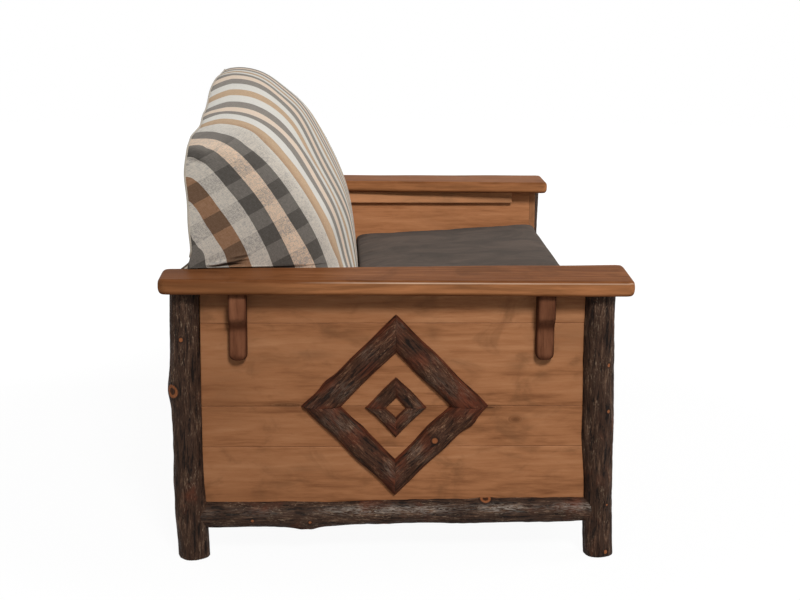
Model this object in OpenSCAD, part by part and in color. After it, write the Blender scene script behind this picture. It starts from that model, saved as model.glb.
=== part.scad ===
// Log loveseat: two panelled arms on bark-covered log posts, a slatted seat deck with two loose
// cushions, and an upholstered back with a crowned top. Millimetres, +Z up, front faces -Y.
// The origin is on the floor, in the middle of the plan.

/* [Overall] */
// Width over the outer edges of the armrests
overall_w = 1690; // [1500:10:2000]
// Length of an armrest, front to rear
overall_d = 1016; // [1000:2:1040]
// Height of the top of an armrest
arm_top_h = 635; // [620:5:680]

/* [Armrest] */
// Thickness of the armrest plank
arm_t = 33; // [28:1:40]
// Width of the plank at its front end
arm_w_front = 180; // [165:1:200]
// Width of the plank at its rear end
arm_w_rear = 131; // [126:1:150]
// Radius of the plank's corners in plan
arm_corner_r = 22; // [12:1:30]
// Radius of the plank's rounded edges
arm_edge_r = 8; // [3:1:10]

/* [Logs] */
// Distance from the armrest's outer edge to the middle of a post
post_in = 64.5; // [60:0.5:68]
// Distance from the armrest's front end to the middle of the front post, at rail height
front_post_in = 58; // [54:1:62]
// Distance from the armrest's rear end to the middle of the rear post, at rail height
rear_post_in = 59; // [55:1:63]
// Radius of a post at the floor
post_r = 33.5; // [31:0.5:36]
// Radius of the rail logs
rail_r = 29; // [26:0.5:31]
// Height of the middle of the rail logs
rail_z = 99; // [85:1:120]
// Radius of the turned tenons on the rail logs
tenon_r = 13; // [10:0.5:14]
// Length of rail tenon inside a post
tenon_len = 19; // [12:0.5:20]
// Radius of the tenon on top of a post
post_tenon_r = 14; // [10:0.5:16]
// Height of the tenon on top of a post
post_tenon_h = 20; // [12:1:24]
// Height of the knots above the bark
knot_h = 4; // [0:0.5:6]

/* [Arm panels] */
// Distance from the armrest's outer edge to the face of the outer panel
outer_panel_in = 60; // [56:0.5:62]
// Thickness of the outer panel
outer_panel_t = 16; // [12:1:18]
// Height of the lowest seam between the outer panel's boards
low_seam_z = 250; // [200:1:290]
// Height of the middle seam
middle_seam_z = 342; // [310:1:380]
// Height of the highest seam
high_seam_z = 527; // [500:1:550]
// Depth of the grooves that hold the panels in the rail logs
groove_depth = 10; // [6:0.5:12]
// Depth of the outer panel's edges behind the surface of the posts
panel_bite = 8; // [5:0.5:10]
// Distance from the armrest's outer edge to the outer face of the inner panel
inner_panel_in = 98; // [97:0.5:100]
// Thickness of the inner panel
inner_panel_t = 18; // [15:1:19]
// Height of the inner panel's lower edge
inner_panel_z = 150; // [140:1:160]
// Distance from the armrest's front end to the inner panel's front edge
inner_panel_front_in = 30; // [26:1:34]
// Width of the strip that covers the inner panel's front edge
edge_strip_w = 17; // [12:1:18]
// Distance from the armrest's rear end to the inner panel's rear edge
inner_panel_rear_in = 31; // [26:1:40]
// Thickness of the cleat under the armrest
cleat_t = 18; // [12:1:20]
// Height of the cleat under the armrest
cleat_h = 35; // [25:1:40]
// Distance from the armrest's front end to the cleat's front end
cleat_front_in = 103; // [90:1:140]

/* [Corbels] */
// Width of a corbel, front to rear
corbel_w = 39; // [30:1:46]
// Height of a corbel
corbel_h = 152; // [130:1:170]
// Distance from the outer panel to the face of a corbel's head
corbel_head = 40; // [34:1:44]
// Distance from the outer panel to the face of a corbel's leg
corbel_leg = 22; // [16:1:26]
// Height of a corbel's head
corbel_head_h = 55; // [40:1:60]
// Height of the hollow curve between a corbel's head and leg
corbel_cove_h = 32; // [20:1:36]
// Distance from the armrest's front end to the middle of the front corbel
front_corbel_in = 187; // [160:1:220]
// Distance from the armrest's rear end to the middle of the rear corbel
rear_corbel_in = 167; // [150:1:200]

/* [Diamonds] */
// Height of the middle of the diamonds
diamond_z = 345; // [340:1:360]
// Half diagonal of the outer diamond
outer_half = 201; // [180:1:205]
// Width of the outer diamond's split logs
outer_twig_w = 58; // [50:1:60]
// Height of the outer diamond's split logs above the panel
outer_twig_h = 25; // [18:1:28]
// Half diagonal of the inner diamond
inner_half = 67; // [60:1:72]
// Width of the inner diamond's split twigs
inner_twig_w = 32; // [26:1:34]
// Height of the inner diamond's split twigs above the panel
inner_twig_h = 15; // [10:1:16]

/* [Seat frame] */
// Height of the seat deck at the front apron
deck_z = 350; // [335:1:365]
// Slope of the seat deck, down towards the back
deck_tilt = 3.5; // [1:0.25:5]
// Thickness of the front and rear aprons
apron_t = 18; // [15:1:20]
// Thickness of the slats
slat_t = 18; // [15:1:22]
// Width of a slat
slat_w = 85; // [70:1:95]
// Number of slats
slat_count = 13; // [10:1:14]
// Thickness of the ledgers that carry the slats
ledger_t = 30; // [24:1:36]
// Height of the ledgers
ledger_h = 42; // [36:1:50]
// Thickness of the rail behind the seat deck
seat_rail_t = 28; // [24:1:32]
// Height of the lower edge of the rail behind the seat deck
seat_rail_z = 210; // [190:1:230]
// Distance from the armrest's front end to the front face of that rail
seat_rail_in = 600; // [594:1:606]

/* [Seat cushions] */
// Thickness of a seat cushion at its edges
cushion_t = 145; // [120:1:150]
// Rise of the cushion's middle above its edges
cushion_crown = 10; // [4:1:20]
// Radius of the cushion's rounded upper edges
cushion_edge_r = 34; // [20:1:40]
// Radius of the cushion's lower edges
cushion_low_r = 14; // [8:1:20]
// Radius of the cushion's corners in plan
cushion_corner_r = 40; // [24:1:50]
// Distance from the armrest's front end to the cushion's front
cushion_front_in = 19; // [10:1:30]

/* [Upholstered back] */
// Height of the middle of the back's top edge
crest_mid_z = 1019; // [980:1:1040]
// Height of the back's top edge beside the crown
crest_end_z = 955; // [930:1:975]
// Drop of the top edge at the back's ends
crest_drop = 50; // [30:1:60]
// Distance from the armrest's outer edge to the start of the crown
crown_in = 400; // [380:5:440]
// Length of the rise from the start of the crown to its top
crown_run = 330; // [280:5:380]
// Height above the seat deck where the back's front starts to lean
back_lean_up = 50; // [30:5:70]
// Distance from the armrest's front end to the back's front face at the seat
back_front_in = 576; // [574:1:590]
// Distance from the armrest's rear end to the back's flat rear face
back_rear_end_in = 59; // [54:1:64]
// Bulge of the back's rear face, half way up
back_bulge = 14; // [4:1:20]
// Distance from the armrest's rear end to the highest line of the back
back_crest_end_in = 125; // [121:1:136]
// Distance from the armrest's outer edge to the back's end, at the rear
back_end_in = 120; // [118:1:126]
// Slant of the back's end, rear to front
back_end_slant = 40; // [30:1:50]
// Rounding between the back's end and its front
back_end_round = 60; // [40:1:70]
// Thickness of the padding over the back's top rail
crest_pad = 55; // [45:1:70]

/* [Back frame] */
// Distance from the armrest's outer edge to the outer face of an end rib
rib_in = 218; // [218:1:260]
// Thickness of the ribs and rails of the back frame
rib_t = 20; // [18:1:24]
// Distance from the armrest's front end to the ribs' lower front corner
rib_front_in = 612; // [610:1:620]
// Depth of a rib at its top
rib_top_d = 137; // [120:1:145]
// Height of the ribs' top
rib_top_z = 830; // [800:1:840]
// Width of the base rails
base_rail_w = 60; // [50:1:70]
// Depth, top to bottom, of the rail behind the ribs' top
crest_rail_d = 50; // [40:1:80]
// Number of webbing straps
strap_count = 6; // [3:1:7]
// Width of a webbing strap
strap_w = 50; // [40:1:60]
// Thickness of the webbing
strap_t = 2.5; // [1.5:0.5:3]
// Thickness of the board behind the back, at its edges
outside_back_t = 5; // [4:0.5:8]
// Thickness of the cloth under the back frame
dust_cover_t = 1; // [0.5:0.5:2]

/* [Fasteners] */
// Radius of a screw's shank
screw_r = 2.5; // [2:0.25:3]
// Radius of a screw's head
screw_head_r = 4.5; // [3.5:0.25:5]
// Height of a screw's head
screw_head_h = 3; // [2:0.25:3]
// Depth of the slat screws in a ledger
slat_screw_bite = 24; // [18:1:28]
// Depth of the back screws in a rail
back_screw_bite = 31; // [24:1:34]
// Depth of the bracket screws in a board
bracket_screw_bite = 12; // [9:0.5:13]
// Wood left between a corbel's face and the tips of its screws
corbel_screw_cover = 4; // [3:0.5:6]
// Radius of the dowels between panel and armrest
dowel_r = 4; // [3:0.5:5]
// Depth of the dowels in the panel
dowel_down = 20; // [14:1:24]
// Distance from the outer dowels to the corbels
dowel_in = 70; // [50:1:90]
// Distance from the ends of the cleat to its outer screws
cleat_screw_in = 30; // [20:1:50]
// Gap between the cleat and the back
cleat_back_gap = 6; // [3:1:12]
// Distance from the armrest down to a corbel's upper screw
corbel_screw_down = 30; // [22:1:40]
// Distance from a corbel's lower end up to its lower screw
corbel_screw_up = 35; // [25:1:45]
// Height of the front brackets above the inner panel's lower edge
front_bracket_up = 40; // [20:1:60]
// Height of the middle brackets above the lower edge of the rail behind the seat
middle_bracket_up = 5; // [3:1:12]
// Height of the rear brackets above the inner panel's lower edge
rear_bracket_up = 60; // [40:1:80]
// Leg length of the corner brackets
bracket_leg = 40; // [30:1:50]
// Thickness of the corner brackets
bracket_t = 3; // [2:0.5:4]
// Height of the corner brackets
bracket_h = 30; // [24:1:40]

/* [Hidden] */
$fn = 48;
fit = 0.3;          // clearance of parts that slide or drop in
bore_gap = 0.15;    // clearance of a pin, tenon or screw in its bore
glue_gap = 0.2;     // glue line between boards, and between mitred twigs
cope_gap = 2.4;     // clearance of a rail's coped end around a post, which is never quite round
mitre_gap = 0.5;    // clearance of two rails that meet at one post
soft_gap = 0.5;     // clearance around the cushions and the padded back
head_gap = 0.5;     // depth of a screw's head below the surface
log_sides = 24;     // sides of a log's cross-section
log_lobe = 0.9;     // unevenness of a log's surface
calm_len = 70;      // length over which a log grows even towards a joint
knot_len = 17;      // reach of a knot along a log
knot_turn = 26;     // reach of a knot around a log, in degrees
clear = 60;         // reach of cutting shapes past the surface that they cut
eps = 0.01;

arm_z = arm_top_h - arm_t;                      // underside of the armrest
front_y = -overall_d / 2;                       // front end of the armrests
half_w = overall_w / 2;
inner_face = inner_panel_in + inner_panel_t;    // inner panel's face towards the seat
seat_half = half_w - inner_face;                // half the space between the inner panels
rear_post_y = overall_d - rear_post_in;         // rear post, from the armrest's front end
back_rear_in = overall_d - back_rear_end_in;    // back's rear face, from the armrest's front end
back_crest_in = overall_d - back_crest_end_in;  // back's highest line, from the armrest's front end

// Posts: radius at the floor, radius at the top, lean over the height, bow, seed
RF_POST = [post_r - 1, post_r + 1, 14, 3, 1];
RR_POST = [post_r + 1.5, post_r - 3, 11, 4.5, 2];
LF_POST = [post_r, post_r + 0.5, -2, -2, 3];
LR_POST = [post_r + 1, post_r - 1.5, 6, -4, 4];

panel_front_in = front_post_in + post_r - panel_bite;
panel_rear_in = rear_post_in + post_r - panel_bite;
panel_z = rail_z + rail_r - groove_depth;       // lower edge of panels held in a rail log
apron_in = front_post_in - apron_t / 2;         // front face of the front apron
rear_apron_in = rear_post_y - apron_t / 2;      // front face of the rear apron
deck_slope = tan(deck_tilt);
apron_back = apron_in + apron_t;
base_z = deck_z + rib_t;                        // top of the back frame's base rails
frame_rear = back_rear_in - outside_back_t;     // rear of the back frame's ribs and rails
rib_half = half_w - rib_in;
core_z = arm_top_h + 4;                         // height that the back's end rings shrink to
profile_z = deck_z + back_lean_up;              // height where the back's front starts to lean
crest_fall = 52;                                // height of the crest's rounded rear corner
bulge_top = crest_end_z - crest_drop - crest_fall;
rib_slope = atan2(rib_top_z - base_z, frame_rear - rib_top_d - rib_front_in);

// Node names

BARK = [0.19, 0.15, 0.12];
PANEL_WOOD = [0.66, 0.42, 0.24];
ARM_WOOD = [0.62, 0.34, 0.16];
FRAME_WOOD = [0.78, 0.66, 0.48];
STEEL = [0.72, 0.72, 0.70];
SUEDE = [0.30, 0.27, 0.25];
PLAID = [0.74, 0.69, 0.62];
WEBBING = [0.82, 0.78, 0.68];
DUST_CLOTH = [0.10, 0.10, 0.10];

// General shapes

function smooth(x) = let (t = min(1, max(0, x))) t * t * (3 - 2 * t);
function bell(x) = exp(-x * x);

// Closed solid through a stack of rings that have the same number of points
module loft(rings) {
    n = len(rings[0]);
    m = len(rings);
    points = [for (ring = rings) for (p = ring) p];
    sides = [for (j = [0:m - 2]) for (i = [0:n - 1])
        for (f = [
            [j * n + i, (j + 1) * n + i, (j + 1) * n + (i + 1) % n],
            [j * n + i, (j + 1) * n + (i + 1) % n, j * n + (i + 1) % n]]) f];
    bottom = [[for (i = [0:n - 1]) i]];
    top = [[for (i = [n - 1:-1:0]) (m - 1) * n + i]];
    polyhedron(concat(points), concat(bottom, sides, top), convexity = 4);
}

// Mirrors a right-hand arm piece, drawn from the armrest's outer front corner, to either side
module arm_side(side) {
    if (side == "right") translate([-half_w, front_y, 0]) children();
    else mirror([1, 0, 0]) translate([-half_w, front_y, 0]) children();
}

// Places a YZ outline, drawn from the armrests' front end, as a bar from x0 to x1
module across(x0, x1) {
    translate([x0, front_y, 0]) rotate([90, 0, 90]) linear_extrude(x1 - x0) children();
}

// Box between two corners
module block(low, high) {
    translate(low) cube(high - low);
}

// Mirrors its children where the direction is negative
module scale_x(direction) {
    if (direction > 0) children();
    else mirror([1, 0, 0]) children();
}

module scale_y(direction) {
    if (direction > 0) children();
    else mirror([0, 1, 0]) children();
}

// Logs

// Radius of a log at share t of its length: taper, soft lobes and knots, calm at its joints
function log_radius(t, ang, log, length, knots, calm) =
    let (seed = log[4] * 77,
         quiet = min([for (c = calm) 1 - bell((t * length - c) / calm_len)]),
         lobes = log_lobe * (sin(2 * ang + seed + 210 * t) + 0.8 * sin(3 * ang - 260 * t + 2 * seed)
             + 0.7 * sin(ang + 500 * t + seed)),
         bumps = [for (k = knots)
             let (turn = abs(((ang - k[1] + 540) % 360) - 180))
             k[2] * bell((t * length - k[0]) / knot_len) * bell(turn / knot_turn)])
    log[0] + (log[1] - log[0]) * t + quiet * lobes + (len(bumps) > 0 ? bumps * [for (b = bumps) 1] : 0);

// Offset of a log's middle line at share t, zero at share t0
function log_sway(t, log, t0) = log[2] * (t - t0) + log[3] * (sin(180 * t) - sin(180 * t0));

// Log standing on its lower end, with its middle line swaying along Y
module log_solid(log, length, t0, knots, calm, stations) {
    loft([for (j = [0:stations])
        let (t = j / stations)
        [for (i = [0:log_sides - 1])
            let (ang = 360 * i / log_sides, r = log_radius(t, ang, log, length, knots, calm))
            [r * cos(ang), log_sway(t, log, t0) + r * sin(ang), t * length]]]);
}

// Post: a log with a turned tenon on top, a flat for the inner panel, a groove for the outer
// panel and bores for the rail tenons. Drawn around its middle line at rail height.
module post(log, knots, to_rail, groove_y) {
    t0 = rail_z / arm_z;
    groove = outer_panel_t + 2 * fit;
    color(BARK) difference() {
        union() {
            log_solid(log, arm_z, t0, knots, [0, rail_z, arm_z], 22);
            translate([0, log_sway(1, log, t0), arm_z - 5]) cylinder(r = post_tenon_r, h = 5 + post_tenon_h);
        }
        block([inner_panel_in - post_in, -clear, inner_panel_z - 2], [clear, clear, arm_z + eps]);
        translate([outer_panel_in - post_in - fit, groove_y > 0 ? groove_y - fit : groove_y - clear,
                   panel_z - fit])
            cube([groove, clear + fit, arm_z]);
        translate([0, 0, rail_z]) rotate([to_rail * -90, 0, 0])
            translate([0, 0, post_r - tenon_len - bore_gap]) cylinder(r = tenon_r + bore_gap, h = clear);
        translate([0, 0, rail_z]) rotate([0, 90, 0])
            translate([0, 0, post_r - tenon_len - bore_gap]) cylinder(r = tenon_r + bore_gap, h = clear);
    }
}

module front_post(side) {
    log = side == "right" ? RF_POST : LF_POST;
    knots = [[200, 250, knot_h], [420, 200, knot_h], [60, 170, knot_h / 2]];
    arm_side(side) translate([post_in, front_post_in, 0])
        post(log, knots, 1, panel_front_in - front_post_in);
}

module rear_post(side) {
    log = side == "right" ? RR_POST : LR_POST;
    knots = [[355, 120, knot_h + 1], [470, 190, knot_h], [250, 60, knot_h / 2]];
    arm_side(side) translate([post_in, rear_post_y, 0])
        post(log, knots, -1, overall_d - panel_rear_in - rear_post_y);
}

// Rail log lying along Z from 0 to length, coped around the posts at its ends, and mitred on the
// side along X where another rail meets it
module rail(length, log, knots, groove_t, groove_off, inward) {
    mitre = mitre_gap / sqrt(2);
    color(BARK) difference() {
        union() {
            difference() {
                log_solid(log, length, 0, knots, [0, length], 30);
                for (z = [0, length]) translate([0, 0, z]) rotate([90, 0, 0]) {
                    cylinder(r = post_r + cope_gap, h = 2 * clear, center = true);
                    scale_x(inward) scale_y(z > 0 ? -1 : 1) linear_extrude(2 * clear, center = true)
                        polygon([[0, mitre], [clear, clear + mitre], [clear, -eps], [0, -eps]]);
                }
            }
            translate([0, 0, post_r - tenon_len])
                cylinder(r = tenon_r, h = length - 2 * (post_r - tenon_len));
        }
        translate([groove_off - groove_t / 2 - fit, rail_r - groove_depth - fit, -eps])
            cube([groove_t + 2 * fit, clear, length + 2 * eps]);
    }
}

module side_rail(side) {
    length = rear_post_y - front_post_in;
    log = [rail_r, rail_r - 1, 0, side == "right" ? 1.5 : -1.5, side == "right" ? 6 : 8];
    knots = [[150, 250, knot_h], [290, 80, knot_h], [640, 200, knot_h], [760, 260, knot_h]];
    off = outer_panel_in + outer_panel_t / 2 - post_in;
    arm_side(side) translate([post_in, rear_post_y, rail_z]) rotate([90, 0, 0])
        rail(length, log, knots, outer_panel_t, off, 1);
}

// Log rail between the two arms, grooved for an apron
module cross_rail(y_in, seed, inward) {
    length = overall_w - 2 * post_in;
    log = [rail_r, rail_r - 0.5, 0, 0, seed];
    knots = [[260, 200, knot_h], [610, 80, knot_h], [900, 190, knot_h], [1290, 250, knot_h]];
    translate([-half_w + post_in, front_y + y_in, rail_z]) rotate([90, 0, 90])
        rail(length, log, knots, apron_t, 0, inward);
}

// Arms

// Plan of the armrest as a ring of points, inset by d, from the outer front corner
function arm_plan(d) =
    let (r = arm_corner_r - d,
         corners = [
             [arm_corner_r, arm_corner_r, 180, 270],
             [arm_w_front - arm_corner_r, arm_corner_r, 270, 360],
             [arm_w_rear - arm_corner_r, overall_d - arm_corner_r, 0, 90],
             [arm_corner_r, overall_d - arm_corner_r, 90, 180]])
    [for (c = corners) for (i = [0:6])
        let (ang = c[2] + (c[3] - c[2]) * i / 6) [c[0] + r * cos(ang), c[1] + r * sin(ang)]];

// Inset and height of the armrest's rounded edge, from its lower face to its upper face
function arm_edge() = concat(
    [for (a = [0:22.5:90]) [arm_edge_r * (1 - sin(a)), arm_z + arm_edge_r * (1 - cos(a))]],
    [for (a = [90:22.5:180]) [arm_edge_r * (1 - sin(a)), arm_top_h - arm_edge_r * (1 + cos(a))]]);

module armrest(side) {
    front = side == "right" ? RF_POST : LF_POST;
    rear = side == "right" ? RR_POST : LR_POST;
    t0 = rail_z / arm_z;
    color(ARM_WOOD) arm_side(side) difference() {
        loft([for (e = arm_edge()) [for (p = arm_plan(e[0])) [p[0], p[1], e[1]]]]);
        for (y = [front_post_in + log_sway(1, front, t0), rear_post_y + log_sway(1, rear, t0)])
            translate([post_in, y, arm_z - eps])
                cylinder(r = post_tenon_r + bore_gap, h = post_tenon_h + bore_gap + eps);
        for (y = dowel_places()) translate([outer_panel_in + outer_panel_t / 2, y, arm_z - eps])
            cylinder(r = dowel_r + bore_gap, h = dowel_up() + bore_gap + eps, $fn = 24);
        for (y = cleat_screw_places()) translate([inner_face + cleat_t / 2, y, arm_z - eps])
            cylinder(r = screw_r + bore_gap, h = arm_t / 2 + bore_gap + eps, $fn = 24);
    }
}

function dowel_places() = [front_corbel_in + dowel_in, overall_d / 2, overall_d - rear_corbel_in - dowel_in];
function dowel_up() = arm_t / 2;
function cleat_end() = back_front_in - cleat_back_gap;
function cleat_screw_places() =
    let (y0 = cleat_front_in + cleat_screw_in, y1 = cleat_end() - cleat_screw_in)
    [for (i = [0:3]) y0 + (y1 - y0) * i / 3];

// Outer panel: four boards glued edge to edge, held in the posts and the side rail
module outer_panel(side) {
    edges = [panel_z, low_seam_z, middle_seam_z, high_seam_z, arm_z];
    color(PANEL_WOOD) arm_side(side) for (i = [0:len(edges) - 2]) difference() {
        block([outer_panel_in, panel_front_in, edges[i] + (i > 0 ? glue_gap : 0)],
              [outer_panel_in + outer_panel_t, overall_d - panel_rear_in, edges[i + 1]]);
        for (y = dowel_places())
            translate([outer_panel_in + outer_panel_t / 2, y, arm_z - dowel_down - bore_gap])
                cylinder(r = dowel_r + bore_gap, h = clear, $fn = 24);
        for (y = corbel_places(), z = corbel_screw_heights())
            if (z > edges[i] && z < edges[i + 1]) translate([0, y, z]) rotate([0, 90, 0])
                cylinder(r = screw_r + bore_gap, h = 2 * clear, $fn = 24);
    }
}

module armrest_dowels() {
    color(FRAME_WOOD) for (side = ["right", "left"]) arm_side(side) for (y = dowel_places())
        translate([outer_panel_in + outer_panel_t / 2, y, arm_z - dowel_down])
            cylinder(r = dowel_r, h = dowel_down + dowel_up(), $fn = 24);
}

module inner_panel(side) {
    color(PANEL_WOOD) arm_side(side) difference() {
        block([inner_panel_in, inner_panel_front_in + edge_strip_w, inner_panel_z],
              [inner_face, overall_d - inner_panel_rear_in, arm_z]);
        for (b = BRACKETS, dz = bracket_screw_steps())
            translate([inner_panel_in + 4, b[0] + b[1] * bracket_screw_reach(), b[2] + dz])
                rotate([0, 90, 0]) cylinder(r = screw_r + bore_gap, h = clear, $fn = 24);
    }
}

module edge_strip(side) {
    color(PANEL_WOOD) arm_side(side)
        block([inner_panel_in, inner_panel_front_in, inner_panel_z],
              [inner_face, inner_panel_front_in + edge_strip_w, arm_z]);
}

module arm_cleat(side) {
    color(ARM_WOOD) arm_side(side) difference() {
        block([inner_face, cleat_front_in, arm_z - cleat_h], [inner_face + cleat_t, cleat_end(), arm_z]);
        for (y = cleat_screw_places()) translate([inner_face + cleat_t / 2, y, arm_z - cleat_h - eps]) {
            cylinder(r = screw_r + bore_gap, h = cleat_h + 2 * eps, $fn = 24);
            cylinder(r = screw_head_r + bore_gap, h = screw_head_h + eps, $fn = 24);
        }
    }
}

module cleat_screws() {
    color(STEEL) for (side = ["right", "left"]) arm_side(side) for (y = cleat_screw_places())
        translate([inner_face + cleat_t / 2, y, arm_z - cleat_h]) {
            cylinder(r = screw_head_r, h = screw_head_h, $fn = 24);
            cylinder(r = screw_r, h = cleat_h + arm_t / 2, $fn = 24);
        }
}

// Corbels

function corbel_places() = [front_corbel_in, overall_d - rear_corbel_in];
function corbel_screw_heights() = [arm_z - corbel_h + corbel_screw_up, arm_z - corbel_screw_down];

// Side outline of a corbel: distance out from the panel, height below the armrest. The head
// comes down to a hollow quarter curve that runs back to the leg's face.
function corbel_outline() =
    let (step = corbel_head - corbel_leg)
    concat(
        [[0, 0], [0, -corbel_h], [corbel_leg, -corbel_h]],
        [for (a = [0:15:90])
            [corbel_leg + step * (1 - cos(a)), -corbel_head_h - corbel_cove_h * (1 - sin(a))]],
        [[corbel_head, 0]]);

// Front outline of a corbel: a strap with two rounded lower corners
function corbel_face() =
    let (r = corbel_w * 0.3)
    concat(
        [[corbel_w / 2, 0], [-corbel_w / 2, 0]],
        [for (a = [180:15:270]) [r - corbel_w / 2 + r * cos(a), r - corbel_h + r * sin(a)]],
        [for (a = [270:15:360]) [corbel_w / 2 - r + r * cos(a), r - corbel_h + r * sin(a)]]);

module corbel(side, y_in) {
    color(ARM_WOOD) arm_side(side) difference() {
        translate([outer_panel_in, y_in, arm_z]) intersection() {
            translate([0, -corbel_w / 2, 0]) rotate([90, 0, 180]) linear_extrude(corbel_w)
                polygon(corbel_outline());
            translate([-corbel_head - 1, 0, 0]) rotate([90, 0, 90]) linear_extrude(corbel_head + 1)
                polygon(corbel_face());
        }
        for (z = corbel_screw_heights()) translate([outer_panel_in - corbel_leg + corbel_screw_cover, y_in, z])
            rotate([0, 90, 0]) cylinder(r = screw_r + bore_gap, h = clear, $fn = 24);
    }
}

module corbel_screws() {
    color(STEEL) for (side = ["right", "left"]) arm_side(side)
        for (y = corbel_places(), z = corbel_screw_heights()) {
            translate([outer_panel_in - corbel_leg + corbel_screw_cover + bore_gap, y, z]) rotate([0, 90, 0])
                cylinder(r = screw_r, h = corbel_leg - corbel_screw_cover + outer_panel_t, $fn = 24);
            translate([outer_panel_in + outer_panel_t, y, z]) rotate([0, 90, 0])
                cylinder(r = screw_head_r, h = screw_head_h, $fn = 24);
        }
}

// Diamonds

// Four split logs, mitred into a square that stands on its corner
module diamond(side, half, width, height) {
    edge = half * sqrt(2);
    reach = edge / 2 - glue_gap;
    r = (width * width / 4 + height * height) / (2 * height);
    color(BARK) arm_side(side) translate([outer_panel_in, overall_d / 2, diamond_z])
        rotate([0, 0, 180]) for (i = [0:3]) rotate([45 + 90 * i, 0, 0])
            translate([0, edge / 2 - width / 2, 0]) intersection() {
                translate([height - r, 0, -edge / 2]) cylinder(r = r, h = edge);
                rotate([90, 0, 90]) linear_extrude(height + 1)
                    polygon([[width / 2, -reach], [width / 2, reach],
                             [-width / 2, reach - width], [-width / 2, width - reach]]);
            }
}

// Seat frame

// Height of the seat deck at a distance from the armrests' front end
function deck_at(y) = deck_z - (y - apron_in) * deck_slope;

module front_apron() {
    color(PANEL_WOOD) difference() {
        across(-seat_half, seat_half) polygon([[apron_in, panel_z], [apron_back, panel_z],
            [apron_back, deck_at(apron_back)], [apron_in, deck_at(apron_in)]]);
        bracket_bores(0);
    }
}

module rear_apron() {
    color(PANEL_WOOD) difference() {
        across(-seat_half, seat_half) polygon([[rear_apron_in, panel_z], [rear_apron_in + apron_t, panel_z],
            [rear_apron_in + apron_t, deck_z], [rear_apron_in, deck_z]]);
        bracket_bores(2);
    }
}

module seat_back_rail() {
    color(FRAME_WOOD) difference() {
        block([-seat_half, front_y + seat_rail_in, seat_rail_z],
              [seat_half, front_y + seat_rail_in + seat_rail_t, deck_z]);
        bracket_bores(1);
        for (x = back_screw_places()) translate([x, front_y + front_screw_in(), deck_z - back_screw_bite - 1])
            cylinder(r = screw_r + bore_gap, h = clear, $fn = 24);
    }
}

module front_slat_ledger() {
    y1 = apron_back + ledger_t;
    color(FRAME_WOOD) difference() {
        across(-seat_half, seat_half) polygon([
            [apron_back, deck_at(apron_back) - slat_t], [y1, deck_at(y1) - slat_t],
            [y1, deck_at(y1) - slat_t - ledger_h], [apron_back, deck_at(y1) - slat_t - ledger_h]]);
        slat_bores();
    }
}

module rear_slat_ledger() {
    y0 = seat_rail_in - ledger_t;
    color(FRAME_WOOD) difference() {
        across(-seat_half, seat_half) polygon([
            [y0, deck_at(y0) - slat_t], [seat_rail_in, deck_at(seat_rail_in) - slat_t],
            [seat_rail_in, deck_at(seat_rail_in) - slat_t - ledger_h],
            [y0, deck_at(seat_rail_in) - slat_t - ledger_h]]);
        slat_bores();
    }
}

// Ledger on the rear apron that carries the back frame's rear base rail
module rear_ledger() {
    color(FRAME_WOOD) difference() {
        block([-seat_half, front_y + rear_apron_in - ledger_t, deck_z - ledger_h],
              [seat_half, front_y + rear_apron_in, deck_z]);
        for (x = back_screw_places()) translate([x, front_y + rear_screw_in(), deck_z - back_screw_bite - 1])
            cylinder(r = screw_r + bore_gap, h = clear, $fn = 24);
    }
}

slat_pitch = 2 * seat_half / slat_count;
slat_front = apron_back + fit;
slat_rear = seat_rail_in - fit;
function slat_x(i) = -seat_half + slat_pitch * (i + 0.5);

module seat_slats() {
    color(FRAME_WOOD) difference() {
        for (i = [0:slat_count - 1]) across(slat_x(i) - slat_w / 2, slat_x(i) + slat_w / 2) polygon([
            [slat_front, deck_at(slat_front)], [slat_rear, deck_at(slat_rear)],
            [slat_rear, deck_at(slat_rear) - slat_t], [slat_front, deck_at(slat_front) - slat_t]]);
        slat_bores();
    }
}

// Places a screw, head up, at the deck's surface, at both ends of every slat
module at_slat_ends() {
    for (i = [0:slat_count - 1], y = [apron_back + ledger_t / 2, seat_rail_in - ledger_t / 2])
        translate([slat_x(i), front_y + y, deck_at(y)]) rotate([-deck_tilt, 0, 0]) children();
}

module slat_bores() {
    at_slat_ends() {
        translate([0, 0, -slat_t - slat_screw_bite - bore_gap])
            cylinder(r = screw_r + bore_gap, h = slat_t + slat_screw_bite + clear, $fn = 24);
        translate([0, 0, -screw_head_h]) cylinder(r = screw_head_r + bore_gap, h = 20, $fn = 24);
    }
}

module slat_screws() {
    color(STEEL) at_slat_ends() {
        translate([0, 0, -slat_t - slat_screw_bite])
            cylinder(r = screw_r, h = slat_t + slat_screw_bite - head_gap, $fn = 24);
        translate([0, 0, -screw_head_h]) cylinder(r = screw_head_r, h = screw_head_h - head_gap, $fn = 24);
    }
}

// Corner brackets: distance of the board's face from the armrests' front end, direction that the
// bracket reaches along the inner panel, height of its lower edge
BRACKETS = [
    [apron_back, 1, inner_panel_z + front_bracket_up],
    [seat_rail_in, -1, seat_rail_z + middle_bracket_up],
    [rear_apron_in, -1, inner_panel_z + rear_bracket_up]];
function bracket_screw_reach() = bracket_leg * 0.62;
function bracket_screw_steps() = [bracket_h * 0.25, bracket_h * 0.75];

// Places a right-hand piece and its mirror image at each bracket's inner corner
module at_brackets(list) {
    for (side = ["right", "left"]) arm_side(side) for (i = list)
        translate([inner_face, BRACKETS[i][0], BRACKETS[i][2]]) scale_y(BRACKETS[i][1]) children();
}

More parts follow.
